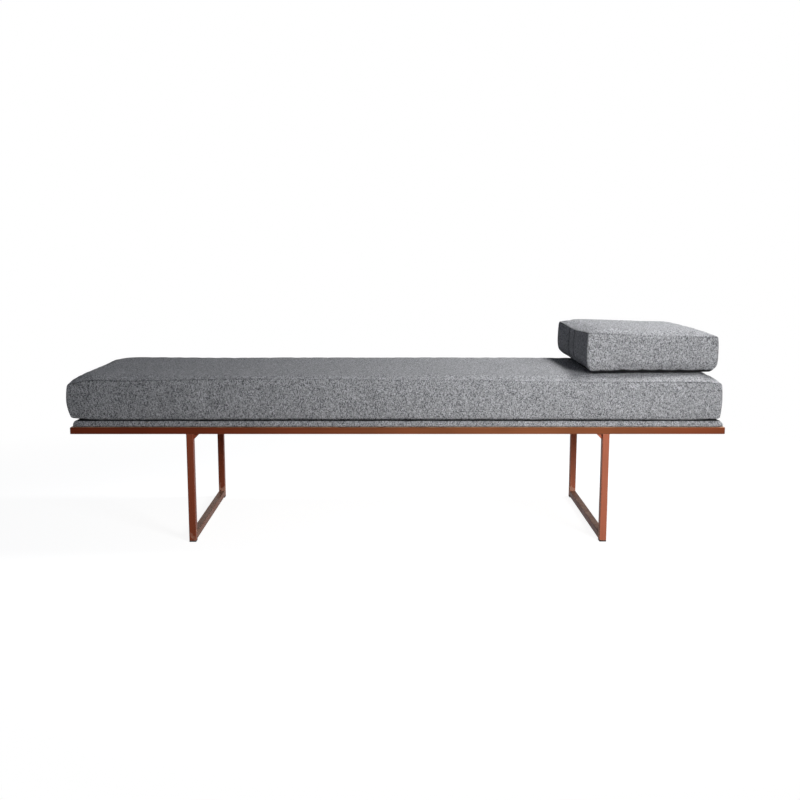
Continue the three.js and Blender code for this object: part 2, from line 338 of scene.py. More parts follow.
warp_tone = yarn_tone(number[0], place[1], 3.0, 3.0)
weft_tone = yarn_tone(number[1], place[0], 1.0, 41.0)
tone = weave.mix(warp_on_top, weft_tone, warp_tone)
height = weave.mix(warp_on_top, thread_height(share[1], share[0]), thread_height(share[0], share[1]))
fibre = weave.noise(given["Cloth"], 1900.0, 1.0)
salted = weave.scaled(weave.times(weave.less(tone, 0.5), given["Contrast"]), 4.0, 0.5)
fuzzy = weave.scaled(weave.less(fibre, 0.5), 0.5, salted)
# Painted shade and highlight: the light share is cut in the dips between threads and raised on their crowns.
shaded = weave.times(fuzzy, weave.remap(height, 0.0, 0.7, 0.74, 1.10))
light_share = weave.get("ShaderNodeClamp", {0: shaded})
slubby = weave.times(height, weave.remap(tone, 0.35, 0.65, 0.5, 1.5))
weave.give(
    Color=weave.mix_colours(light_share, given["Dark Yarn"], given["Light Yarn"]),
    Height=weave.scaled(fibre, 0.35, slubby),
    Roughness=weave.remap(height, 0.0, 1.0, 0.97, 0.84),
)

# %% [markdown]
# Cloth that has been sat on and brushed by hands is never one even grey. A second group adds
# slow clouds of tone, painted shade along the seams, a near-black cloth painted where the
# underside lies in shade, and soft puckers where the seam thread has drawn the cloth in. The
# cushions carry how near each point is to a seam in an attribute; the deck pad carries its
# painted shade beside the rail in the same attribute.

# %% Used cloth
used_cloth = Pattern(
    "used_cloth",
    {
        "Cloth": "Vector",
        "Color": "Color",
        "Seam": 0.0,
        "Shade Cloth": 0.0,
        "Cloud Size": 0.14,
        "Cloud Share": 0.1,
    },
    {"Color": "Color", "Pucker": "Float"},
)
given = used_cloth.given
cloth = given["Cloth"]
clouds = used_cloth.noise(cloth, used_cloth.maths("DIVIDE", 1.0, given["Cloud Size"]), 3.0)
level = used_cloth.scaled(used_cloth.less(clouds, 0.5), used_cloth.times(given["Cloud Share"], 2.0), 1.0)
# Painted shade: the cloth is darkened near each seam, as the shade in the seam's groove.
painted_seam_shade = used_cloth.times(used_cloth.maths("POWER", given["Seam"], 2.6), 0.68)
tinted = used_cloth.vector("SCALE", {0: given["Color"], "Scale": used_cloth.less(level, painted_seam_shade)})
# A near-black cloth with fine grip dots, painted where the underside of a cushion and the pad's shoulder lie
# in shade in the crevices.
grip_dots = {"Vector": cloth, "Scale": 160.0, "Randomness": 0.0}
grip = used_cloth.remap(used_cloth.get("ShaderNodeTexVoronoi", grip_dots, "Distance"), 0.30, 0.26)
black_cloth_painted_shade = used_cloth.mix_colours(grip, (0.007, 0.007, 0.008, 1), (0.022, 0.022, 0.024, 1))
used_cloth.give(
    Color=used_cloth.mix_colours(given["Shade Cloth"], tinted, black_cloth_painted_shade),
    Pucker=used_cloth.times(used_cloth.noise(cloth, 55.0, 1.0), given["Seam"]),
)


def grey_cloth(name, dark, light):
    finish = Finish(name, {"Sheen Weight": 0.04, "Sheen Roughness": 0.5, "Specular IOR Level": 0.12})
    cloth = finish.get("ShaderNodeUVMap", uv_map="cloth")
    # 'underside' marks where the near-black cloth is painted as shade; 'seam' sets the painted seam shade and
    # the puckers.
    marks = ("seam", "underside")
    seam, below = (finish.get("ShaderNodeAttribute", output="Fac", attribute_name=m) for m in marks)
    woven = finish.group(weave, {"Cloth": cloth, "Dark Yarn": dark, "Light Yarn": light})
    worn = {"Cloth": cloth, "Color": woven["Color"], "Seam": seam, "Shade Cloth": below}
    used = finish.group(used_cloth, worn)
    puckers = finish.get("ShaderNodeBump", {"Height": used["Pucker"], "Distance": 0.004})
    return finish.wear(used["Color"], woven["Roughness"], woven["Height"], 0.0008, Normal=puckers)


melange = grey_cloth("grey_melange", (0.085, 0.087, 0.093, 1), (0.76, 0.765, 0.79, 1))

# %% [markdown]
# The tubes have a satin copper finish. Under it the steel was drawn, so fine streaks run along
# each tube; hands and cloths have left slow clouds of tone; the corners and the tops are painted
# paler, partly as rubbed wear and partly as a painted highlight; the tone is painted along the
# divan, darker where less light falls, as painted light and shade; and the joints were welded
# and ground, which leaves paler patches there. Streaks need a direction, so the group takes a
# stretch for each way that a tube can lie.

# %% Copper finish
PAINTED_LIGHT_CENTRE = 0.3  # painted light and shade: the copper has its first tone here along the divan, and is painted towards its second tone away from here, where the light falls off
copper = Pattern(
    "copper_finish",
    {
        "Stretch": "Vector",
        "Copper": (0.4, 0.13, 0.07, 1),
        "Copper Toward Ends": (0.3, 0.08, 0.04, 1),
        "Worn And Lit": (0.7, 0.4, 0.3, 1),
        "Weld Place": "Vector",
        "Weld Reach": 0.03,
        "Top Wear And Highlight": 0.0,
    },
    {"Color": "Color", "Height": "Float", "Roughness": "Float"},
)
given = copper.given
position = copper.on_object()
streaks = copper.noise(copper.vector("MULTIPLY", {0: position, 1: given["Stretch"]}), 1.0, 3.0)
cloud = copper.noise(position, 9.0, 3.0)
patchy = copper.noise(position, 60.0, 3.0)
grain = copper.noise(position, 700.0, 1.0)

true_normal = copper.get("ShaderNodeNewGeometry", output="Normal")
rounded_normal = copper.get("ShaderNodeBevel", {"Radius": 0.0022}, samples=4)
alike = copper.vector("DOT_PRODUCT", {0: rounded_normal, 1: true_normal}, "Value")
# Partly rubbed wear and partly a painted highlight: the rounded edges are painted paler, where they catch the
# light.
rubbed_and_lit_edge = copper.times(copper.remap(alike, 0.985, 0.8), copper.remap(cloud, 0.42, 0.62, 0.1, 0.75))
# Partly wear and partly a painted highlight: faces that look up are painted paler, as lit from above.
facing_up = copper.times(copper.remap(copper.split(true_normal)[2], 0.8, 1.0), given["Top Wear And Highlight"])
worn_and_lit_top = copper.times(facing_up, copper.remap(patchy, 0.35, 0.65, 0.4, 1.2))
mirrored = copper.vector("ABSOLUTE", {0: position})
distance = copper.vector("DISTANCE", {0: mirrored, 1: given["Weld Place"]}, "Value")
reach = copper.times(given["Weld Reach"], copper.remap(patchy, 0.35, 0.65, 0.1, 1.4))
ground = copper.remap(copper.maths("DIVIDE", distance, reach), 1.0, 0.6)
pale = copper.maths("MAXIMUM", copper.maths("MAXIMUM", rubbed_and_lit_edge, worn_and_lit_top), copper.times(ground, 0.6))

# Painted light and shade: the tone moves towards the second colour with the distance along the divan, as the
# lamps' light falls off.
aside = copper.maths("ABSOLUTE", copper.less(copper.split(position)[0], PAINTED_LIGHT_CENTRE))
painted_light_share = copper.remap(copper.scaled(copper.less(cloud, 0.5), 0.5, aside), 0.2, 0.9)
hue = copper.mix_colours(painted_light_share, given["Copper"], given["Copper Toward Ends"])
streaked = copper.remap(streaks, 0.3, 0.7, 0.86, 1.12)
clouded = copper.times(streaked, copper.remap(cloud, 0.3, 0.7, 0.88, 1.1))
toned = copper.vector("SCALE", {0: hue, "Scale": clouded})
copper.give(
    Color=copper.mix_colours(pale, toned, given["Worn And Lit"]),
    Height=copper.scaled(grain, 0.3, streaks),
    Roughness=copper.mix(ground, copper.remap(cloud, 0.3, 0.7, 0.36, 0.5), 0.55),
)


def satin_copper(name, stretch, tones, weld_place, weld_reach, top_wear_and_highlight):
    finish = Finish(name, {"Metallic": 0.05, "Specular IOR Level": 0.04})
    labels = ("Stretch", "Copper", "Copper Toward Ends", "Worn And Lit", "Weld Place", "Weld Reach", "Top Wear And Highlight")
    values = (stretch, *tones, weld_place, weld_reach, top_wear_and_highlight)
    made = finish.group(copper, dict(zip(labels, values)))
    return finish.wear(made["Color"], made["Roughness"], made["Height"], 0.0002, Strength=0.35)


ACROSS, ALONG = 1100.0, 5.0
# The second tone of each set is painted light and shade: darker at the dim ends of the rails and posts; on
# the floor bars lighter, so the right bar, whose inner face is in shade, is painted darker.
RAIL_TONES = ((0.268, 0.089, 0.036, 1), (0.225, 0.042, 0.016, 1), (0.70, 0.45, 0.29, 1))
POST_TONES = ((0.54, 0.172, 0.098, 1), (0.35, 0.082, 0.038, 1), (0.75, 0.43, 0.31, 1))
BAR_TONES = ((0.170, 0.048, 0.029, 1), (0.30, 0.105, 0.052, 1), (0.48, 0.32, 0.23, 1))
LOW_CORNER = (0.605, 0.250, 0.024)
RAIL_CORNER = (0.940, 0.265, 0.333)
rail_along_x = satin_copper("rail_along_x", (ALONG, ACROSS, ACROSS), RAIL_TONES, RAIL_CORNER, 0.008, 1.0)
rail_along_y = satin_copper("rail_along_y", (ACROSS, ALONG, ACROSS), RAIL_TONES, RAIL_CORNER, 0.008, 0.7)
post_upright = satin_copper("post_upright", (ACROSS, ACROSS, ALONG), POST_TONES, LOW_CORNER, 0.030, 0.0)
bar_along_y = satin_copper("bar_along_y", (ACROSS, ALONG, ACROSS), BAR_TONES, LOW_CORNER, 0.035, 0.5)

# %% [markdown]
# The other finishes are plainer, but none is one flat colour: moulded black plastic has a fine
# grain and grey scuffs where it meets the floor, plywood has long grain with darker lines, and
# zinc plated steel has a fine crystal pattern.

# %% Plastic, plywood and zinc
def black_plastic():
    finish = Finish("moulded_black", {"Specular IOR Level": 0.2})
    position = finish.on_object()
    at_foot = finish.remap(finish.split(position)[2], 0.0016, 0.0)
    scuffs = finish.times(at_foot, finish.noise(position, 240.0))
    colour = finish.mix_colours(scuffs, (0.012, 0.012, 0.013, 1), (0.11, 0.105, 0.1, 1))
    grain = finish.noise(position, 1800.0)
    return finish.wear(colour, finish.remap(grain, 0.3, 0.7, 0.5, 0.7), grain, 0.0001)


def birch_plywood():
    finish = Finish("birch_plywood", {"Specular IOR Level": 0.3})
    position = finish.on_object()
    bands = finish.noise(finish.stretch(position, (1.2, 22.0, 22.0)), 2.0, 6.0)
    pores = finish.noise(finish.stretch(position, (14.0, 900.0, 900.0)), 1.0)
    wood = finish.mix_colours(finish.remap(bands, 0.3, 0.7), (0.5, 0.33, 0.18, 1), (0.68, 0.51, 0.32, 1))
    lined = finish.mix_colours(finish.remap(pores, 0.5, 0.72, 0.0, 0.35), wood, (0.3, 0.18, 0.09, 1))
    return finish.wear(lined, finish.remap(pores, 0.3, 0.7, 0.55, 0.75), pores, 0.0002)


def zinc_steel():
    finish = Finish("zinc_plate", {"Metallic": 1.0})
    crystals = finish.get("ShaderNodeTexVoronoi", {"Vector": finish.on_object(), "Scale": 1300.0}, "Color")
    tone = finish.get("ShaderNodeSeparateColor", {0: crystals})
    colour = finish.mix_colours(tone, (0.42, 0.42, 0.43, 1), (0.62, 0.62, 0.63, 1))
    return finish.wear(colour, finish.remap(tone, 0.0, 1.0, 0.28, 0.42), tone, 0.00005)


plastic, plywood, zinc = black_plastic(), birch_plywood(), zinc_steel()

# %% [markdown]
# The steel frame, the glides and the board keep their loaded meshes, whose shapes are right, and
# only get their finish. Rails and bars take the streaks that run their own way.

# %% Finish of the loaded pieces
WAYS = {
    rail_along_x: ["rail_front", "rail_back"],
    rail_along_y: ["rail_left", "rail_right", "bearer_left", "bearer_middle", "bearer_right"],
    post_upright: [n for n in nodes if n.startswith(("post_", "gusset_"))],
    bar_along_y: ["floor_bar_left", "floor_bar_right"],
    plastic: [n for n in nodes if n.startswith("glide_")],
    plywood: ["deck_board"],
}
for material, names in WAYS.items():
    for name in names:
        nodes[name].data.materials.clear()
        nodes[name].data.materials.append(material)
    print(material.name, "on", len(names), "pieces")

# %% [markdown]
# The mattress and the headrest are boxed cushions: a top, a strip of cloth round the side, and
# an underside, sewn together round a foam core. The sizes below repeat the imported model's. Each
# mesh is a grid of quads that follows the panels, with close lines along every seam, because a
# seam needs its own vertices to sink between the two panels.

# %% Sizes of the cushions
CUSHION_SIZES = {  # of the mattress and of the headrest
    "half": ((0.9515, 0.270), (0.1965, 0.231)),
    "side": (0.112, 0.113),
    "corner": (0.007, 0.008),
    "crown": (0.015, 0.009),
    "crown_reach": (0.100, 0.060),
    "widest": (0.062, 0.060),  # the height at which the side stands out furthest
    "top_in": (0.004, 0.003),  # how far in from there the top seam is
    "low_in": (0.003, 0.001),
    "under_height": (0.006, 0.026),  # below this the side turns in underneath
    "under_inset": (0.008, 0.020),
    "under_power": (2.0, 1.7),
    "draw_in": (0.003, 0.004),  # how far the middle of each side is drawn in
    "end_tucks": ((0.009, 0.002), (0.006, 0.002)),
    "shade_cloth_height": (0.0010, 0.0085),  # below this height the cloth is painted near-black, as shade in the crevice underneath
    "sag": (0.0052, 0.0),  # how far the rim hangs down over the pad's shoulder
    "end_seams": ((0.150,), (-0.015, 0.060)),
    "zip": (1.620, 0.300),
}
MATTRESS, HEADREST = ({label: pair[i] for label, pair in CUSHION_SIZES.items()} for i in (0, 1))

# Where a cushion stands higher or lower than level: place, how far it reaches, and how much.
MATTRESS_LIFTS = [
    (-0.950, -0.270, 0.040, -0.0085), (-0.865, -0.270, 0.060, 0.0050), (-0.780, 0.150, 0.160, 0.0020),
    (-0.700, -0.270, 0.120, 0.0025), (-0.450, -0.270, 0.200, 0.0080), (-0.120, -0.270, 0.200, 0.0065),
    (0.220, -0.270, 0.180, 0.0040), (0.950, -0.270, 0.040, -0.0055), (0.950, 0.270, 0.060, -0.0040),
    (-0.950, 0.270, 0.060, -0.0030), (0.480, -0.270, 0.250, -0.0010),
]
HEADREST_LIFTS = [
    (-0.192, -0.230, 0.150, 0.0080), (-0.192, 0.230, 0.150, 0.0060),
    (0.192, -0.230, 0.120, -0.0035), (0.192, 0.230, 0.160, -0.0045),
]
# Where the underside turns up from what it lies on, in the same form.
MATTRESS_TURNED_UP = [
    (x, y, 0.045, lift) for x, lift in ((-0.940, 0.006), (0.940, 0.004)) for y in (-0.265, 0.265)
]
HEADREST_TURNED_UP = [(-0.180, 0.215, 0.160, 0.010), (0.180, -0.215, 0.060, 0.003)]

PAD_TOP = 0.3633
PAD_SHOULDER = 0.028  # from the pad's side to where its top is flat
MATTRESS_BOTTOM = 0.3636
MATTRESS_CEILING = 0.4906  # the mattress stays under this, because the headrest lies on it
HEADREST_BOTTOM = 0.4909
HEADREST_TURN = Matrix.Rotation(math.radians(1.8), 4, "Z")
MATTRESS_PLACE = Matrix.Translation((-0.0087, 0.0, MATTRESS_BOTTOM))
HEADREST_PLACE = Matrix.Translation((0.7415, 0.021, HEADREST_BOTTOM)) @ HEADREST_TURN
print("mattress and headrest:", [[2 * half for half in size["half"]] for size in (MATTRESS, HEADREST)])

# %% [markdown]
# One function lays out any shell of cloth. The rim of the top grid is shared with the first row
# of the side strip, and the rim of the underside with its last row, so the shell is closed. Each
# face corner also gets its place on the flat cloth, in metres. The weave reads that map, so its
# threads run along the panels and never change size.

# %% Lines and rings of a shell
EDGE_STEPS = np.array([0.0, 0.0025, 0.0055, 0.0095, 0.0145, 0.021, 0.029])
SEAM_STEPS = np.array([-0.005, -0.0025, 0.0, 0.0025, 0.005])
ZIP_STEPS = np.array([-0.0075, -0.0045, -0.0030, 0.0, 0.0030, 0.0045, 0.0075])
UNDER_STEPS = np.array([0.0, 0.015, 0.06, 0.14, 0.26, 0.41, 0.57, 0.73, 0.88, 1.0])
SEAM_CLEARANCE = 0.008  # other lines keep this far from an end seam
UNDERSIDE_ON_CLOTH = 3.0  # metres: where the underside is on the flat cloth


def grid_lines(half, step, extra=()):
    """Places from edge to edge: close together near both edges and round each extra line."""
    edge, inner = half - EDGE_STEPS[:-1], half - EDGE_STEPS[-1]
    count = max(2, round(2 * inner / step))
    lines = np.concatenate([-edge, np.linspace(-inner, inner, count + 1), edge])
    for line in extra:
        lines = np.append(lines[np.abs(lines - line) > SEAM_CLEARANCE], line + SEAM_STEPS)
    return np.unique(lines.round(5))


def rim_of(columns, rows):
    """Grid places round the rim, anticlockwise from the front left corner."""
    front = [(i, 0) for i in range(columns)]
    right = [(columns, j) for j in range(rows)]
    back = [(i, rows) for i in range(columns, 0, -1)]
    left = [(0, j) for j in range(rows, 0, -1)]
    return front + right + back + left


def on_rings(x, y, half_x, half_y, corner):
    """Moves the points of a rectangle's grid on to nested rings with rounded corners."""
    gap_x, gap_y = half_x - np.abs(x), half_y - np.abs(y)
    inset = np.minimum(gap_x, gap_y)
    radius = np.maximum(corner - inset, 1e-9)
    at_end = gap_x <= gap_y
    along = np.where(at_end, np.abs(y), np.abs(x))
    along_half = np.where(at_end, half_y, half_x) - inset
    out_half = np.where(at_end, half_x, half_y) - inset
    angle = np.clip((along - along_half + radius) / radius, 0, 1) * math.pi / 4
    moved_along = np.where(angle > 0, along_half - radius + radius * np.sin(angle), along)
    moved_out = out_half - radius + radius * np.cos(angle)
    moved_x = np.where(at_end, moved_out, moved_along)
    moved_y = np.where(at_end, moved_along, moved_out)
    return np.copysign(moved_x, x), np.copysign(moved_y, y)


def ring_shell(name, half, corner, lines, rows, top, shift=None):
    """A closed shell of quads: a top grid, rows of points round the side, and a bottom grid.

    Each row gives how far in it stands and how high. The first is the top's rim and the last the
    bottom's. The function top gives the top's height, from the insets from both pairs of edges.
    """
    half_x, half_y = half
    xs, ys = lines
    columns, count = len(xs) - 1, len(ys) - 1
    flat_x, flat_y = (a.ravel() for a in np.meshgrid(xs, ys, indexing="ij"))
    rim = rim_of(columns, count)
    rim_x, rim_y = xs[[i for i, j in rim]], ys[[j for i, j in rim]]
    grid, around, last_row = len(flat_x), len(rim), len(rows) - 1

    points = []
    for number, (inset, height) in enumerate(rows):
        x, y = (flat_x, flat_y) if number in (0, last_row) else (rim_x, rim_y)
        size_x, size_y = half_x - inset, half_y - inset
        radius = max(corner - inset, corner / 2)
        x, y = on_rings(x * size_x / half_x, y * size_y / half_y, size_x, size_y, radius)
        if shift:
            x, y = shift(size_x, size_y, x, y)
        heights = np.full(len(x), height)
        if number == 0:
            heights = top(half_x - np.abs(flat_x), half_y - np.abs(flat_y))
        points.append(np.column_stack([x, y, heights]))

    last = grid + (last_row - 1) * around
    rim_index = [i * (count + 1) + j for i, j in rim]
    row_index = [[grid + k * around + i for i in range(around)] for k in range(last_row - 1)]
    row_index = [rim_index, *row_index, [last + i for i in rim_index]]

    faces, cloth = [], []
    for i in range(columns):
        for j in range(count):
            quad = [i * (count + 1) + j, (i + 1) * (count + 1) + j]
            quad += [quad[1] + 1, quad[0] + 1]
            faces += [quad, [last + q for q in quad[::-1]]]
            cloth.append([(flat_x[q], flat_y[q]) for q in quad])
            cloth.append([(flat_x[q], UNDERSIDE_ON_CLOTH - flat_y[q]) for q in quad[::-1]])
    steps = np.hypot(np.diff(rim_x, append=rim_x[0]), np.diff(rim_y, append=rim_y[0]))
    run = -half_x + np.concatenate([[0], np.cumsum(steps)])
    drop = -half_y - np.concatenate([[0], np.cumsum(np.hypot(*np.diff(np.array(rows), axis=0).T))])
    for level, (upper, lower) in enumerate(zip(row_index, row_index[1:])):
        for i in range(around):
            j = (i + 1) % around
            faces.append([lower[i], lower[j], upper[j], upper[i]])
            sides = ((run[i], drop[level + 1]), (run[i + 1], drop[level + 1]))
            cloth.append([*sides, (run[i + 1], drop[level]), (run[i], drop[level])])

    mesh = new_mesh(name, np.concatenate(points).tolist(), faces=faces)
    uv = mesh.uv_layers.new(name="cloth")
    uv.data.foreach_set("uv", np.array(cloth, np.float32).ravel())
    mesh.shade_smooth()
    print(name, "shell:", len(mesh.vertices), "vertices", len(mesh.polygons), "faces")
    return add_object(name, mesh)


# %% [markdown]
# A boxed cushion gives that function its own rows and its own top. Its side bulges a little and
# turns in underneath, its top is crowned, and each side is drawn in towards its middle, where a
# long seam pulls most.

# %% Shell of a boxed cushion
def fade(values, reach):
    """1 at zero, falling evenly to 0 at a reach."""
    return np.clip(1 - values / reach, 0, 1)


def side_profile(size, height):
    """How far in from its widest outline the side stands at a height above the underside."""
    under, widest = size["under_height"], size["widest"]
    if height < under:
        return size["low_in"] + size["under_inset"] * (1 - (height / under) ** (1 / size["under_power"]))
    if height < widest:
        return size["low_in"] * ((widest - height) / (widest - under)) ** 2
    return size["top_in"] * ((height - widest) / (size["side"] - widest)) ** 2


def side_heights(size):
    upper = size["side"] - EDGE_STEPS
    middle = size["side"] / 2 + ZIP_STEPS
    lower = size["under_height"] * UNDER_STEPS
    between = [(upper[-1] + middle[-1]) / 2, (middle[0] + lower[-1]) / 2]
    return sorted({round(h, 5) for h in [*upper, *between, *middle, *lower]}, reverse=True)


def draw_in(size, half_x, half_y, x, y):
    """Pulls the front and both ends in towards their middles, less and less across the top."""
    reach = size["crown_reach"]
    front = size["draw_in"] * np.cos(math.pi / 2 * x / half_x) * fade(y + half_y, reach)
    bow = size["draw_in"] * np.cos(math.pi / 2 * y / half_y)
    return x + bow * fade(x + half_x, reach) - bow * fade(half_x - x, reach), y + front


def boxed_shell(name, size, step):
    half_x, half_y = size["half"]
    lines = (grid_lines(half_x, step), grid_lines(half_y, step, size["end_seams"]))
    rows = [(side_profile(size, height), height) for height in side_heights(size)]

    def crowned(*insets):
        rise_x, rise_y = (1 - fade(inset, size["crown_reach"]) ** 3 for inset in insets)
        return size["side"] + size["crown"] * (rise_x * rise_y)

    def drawn(*place):
        return draw_in(size, *place)

    return ring_shell(name, size["half"], size["corner"], lines, rows, crowned, drawn)


# %% [markdown]
# Cloth simulation gives the cushions what a drawn shape lacks: panels that swell between their
# seams and small folds where the cloth is caught. The air pressure pushes out, the seams shrink a
# little and gather the cloth beside them, and the parts that lie on something are held. Each
# point's movement is capped, so the cushion keeps its measured size.

# %% Cloth simulation
CLOTH_FRAMES = 20
CLOTH = {
    "quality": 6,
    "mass": 0.3,
    "tension_stiffness": 18,
    "compression_stiffness": 18,
    "shear_stiffness": 6,
    "bending_stiffness": 0.4,
    "use_pressure": True,
    "vertex_group_mass": "hold",
    "pin_stiffness": 1.0,
    "vertex_group_shrink": "gather",
    "shrink_min": -0.01,
    "shrink_max": 0.02,
}


def read_points(mesh, attribute="co"):
    values = np.empty(len(mesh.vertices) * 3)
    mesh.vertices.foreach_get(attribute, values)
    return values.reshape(-1, 3)


def write_points(mesh, points):
    mesh.vertices.foreach_set("co", points.ravel())
    mesh.update()


def puff(piece, hold, gather, pressure, cap):
    """Runs the cloth and returns how far each point moved, no further than the cap."""
    start = read_points(piece.data)
    for label, weights in (("hold", hold), ("gather", gather)):
        group = piece.vertex_groups.new(name=label)
        for index in np.nonzero(weights > 0.01)[0]:
            group.add([int(index)], float(weights[index]), "REPLACE")
    cloth = piece.modifiers.new("cloth", "CLOTH")
    for label, value in {**CLOTH, "uniform_pressure_force": pressure}.items():
        setattr(cloth.settings, label, value)
    cloth.settings.effector_weights.gravity = 0
    cloth.point_cache.frame_start, cloth.point_cache.frame_end = 1, CLOTH_FRAMES
    for number in range(1, CLOTH_FRAMES + 1):
        scene.frame_set(number)
    evaluated = piece.evaluated_get(bpy.context.evaluated_depsgraph_get())
    moved = read_points(evaluated.to_mesh()) - start
    evaluated.to_mesh_clear()
    piece.modifiers.remove(cloth)
    piece.vertex_groups.clear()
    scene.frame_set(1)
    reach = np.linalg.norm(moved, axis=1, keepdims=True)
    print(piece.name, "cloth moved up to", round(float(reach.max()) * 1000, 1), "mm")
    return moved * np.minimum(1, cap / np.maximum(reach, 1e-9))


def keep_result(piece, modifier, **options):
    """Keeps what a modifier makes as a plain mesh, and takes the modifier away."""
    graph = bpy.context.evaluated_depsgraph_get()
    mesh = bpy.data.meshes.new_from_object(piece.evaluated_get(graph), depsgraph=graph, **options)
    piece.modifiers.remove(modifier)
    old, piece.data = piece.data, mesh
    bpy.data.meshes.remove(old)
    mesh.name = piece.name
    return mesh


def subdivide(piece):
    modifier = piece.modifiers.new("subdivision", "SUBSURF")
    modifier.levels = modifier.render_levels = 1
    return keep_result(piece, modifier, preserve_all_data_layers=True)


# %% [markdown]
# Making a cushion is then a few steps: lay out the shell, mark how near each point is to a seam,
# puff it, sink the seams, subdivide, and add the slow unevenness of a core that has been lain on.
# What lies on something stays flat, and the row round the zip stays in its plane.

# %% Making a cushion
AIR_PRESSURE = 4.0
MOST_PUFFED = 0.004
LEAST_HOLD = 0.03  # how firmly even the free cloth is held
SEAM_WIDTH, GATHER_WIDTH = 0.004, 0.010
SEAM_SINK, ZIP_SINK = 0.0020, 0.0018
ZIP_STRIP, ZIP_FOLD = 0.011, 0.0035  # above and below the zip: how far it is held, and sunk
CORNER_HELD = 0.03
# This also widens the painted seam shade on the end seams.
END_SEAM_CLOSE = 0.45  # an end seam is that much narrower in reach, so it draws in more cloth
UNDER_SEAM_SHARE = 0.35  # the seam round the underside is drawn in less than the one round the top
TUCK_HEIGHT, TUCK_REACH = 0.055, 0.060
SAG_HEIGHT = 0.030  # above this the rim doesn't sag
CEILING_SOFTNESS = 0.0010
UNEVEN = ((0.0012, 0.16, 0), (0.0005, 0.045, 9))  # how much, how large, and what its seed is raised by


def bell(values, reach):
    return np.exp(-((values / reach) ** 2))


def edge_gaps(points, half):
    """How far in each point is from both pairs of edges."""
    return half[0] - np.abs(points[:, 0]), half[1] - np.abs(points[:, 1])


def seam_nearness(size, points, width):
    """1 on a seam, falling to 0 over a width: the top seam, the underside's, and the end seams."""
    gap_x, gap_y = edge_gaps(points, size["half"])
    height = points[:, 2]
    on_top = height > size["side"] - 1e-6
    inset = np.minimum(gap_x, gap_y) - size["top_in"]
    gap = np.where(on_top, np.maximum(inset, 0), np.abs(height - size["side"]))
    on_end = (height > size["under_height"]) & ~on_top & (gap_x < 0.02)
    for y in size["end_seams"]:
        gap = np.where(on_end, np.minimum(gap, np.abs(points[:, 1] - y) * END_SEAM_CLOSE), gap)
    return np.maximum(bell(gap, width), UNDER_SEAM_SHARE * bell(height - size["under_height"], width))


def lifts_at(points, lifts):
    """How far each point stands above level, given a few high and low places."""
    total = np.zeros(len(points))
    for x, y, reach, lift in lifts:
        total += lift * bell(np.hypot(points[:, 0] - x, points[:, 1] - y), reach)
    return total


def tuck_ends(size, points):
    """Draws the left and the right end in towards the underside."""
    low = fade(points[:, 2], TUCK_HEIGHT) ** 2
    for side, tuck in zip((-1, 1), size["end_tucks"]):
        points[:, 0] -= side * tuck * low * fade(size["half"][0] - side * points[:, 0], TUCK_REACH)


def sag_share(size, points):
    """1 at the rim of the underside, falling to 0 inwards and upwards."""
    inset = np.minimum(*edge_gaps(points, size["half"]))
    return fade(np.maximum(inset, 0), PAD_SHOULDER) ** 2 * fade(points[:, 2], SAG_HEIGHT)


def uneven(points, size, seed):
    """A slow unevenness of a given size in metres, between about -1 and 1."""
    return np.array([noise.noise(Vector(p) / size + Vector((seed, 0, 0))) for p in points])


def under_ceiling(heights, ceiling):
    """Flattens what would stand above a height, with a soft start instead of a crease."""
    return ceiling - CEILING_SOFTNESS * np.logaddexp(0, (ceiling - heights) / CEILING_SOFTNESS)


def mark(piece, seam, underside):
    """Writes the two point attributes that the cloth's material reads."""
    for label, values in (("seam", seam), ("underside", underside)):
        attribute = piece.data.attributes.new(label, "FLOAT", "POINT")
        attribute.data.foreach_set("value", values.astype(np.float32))


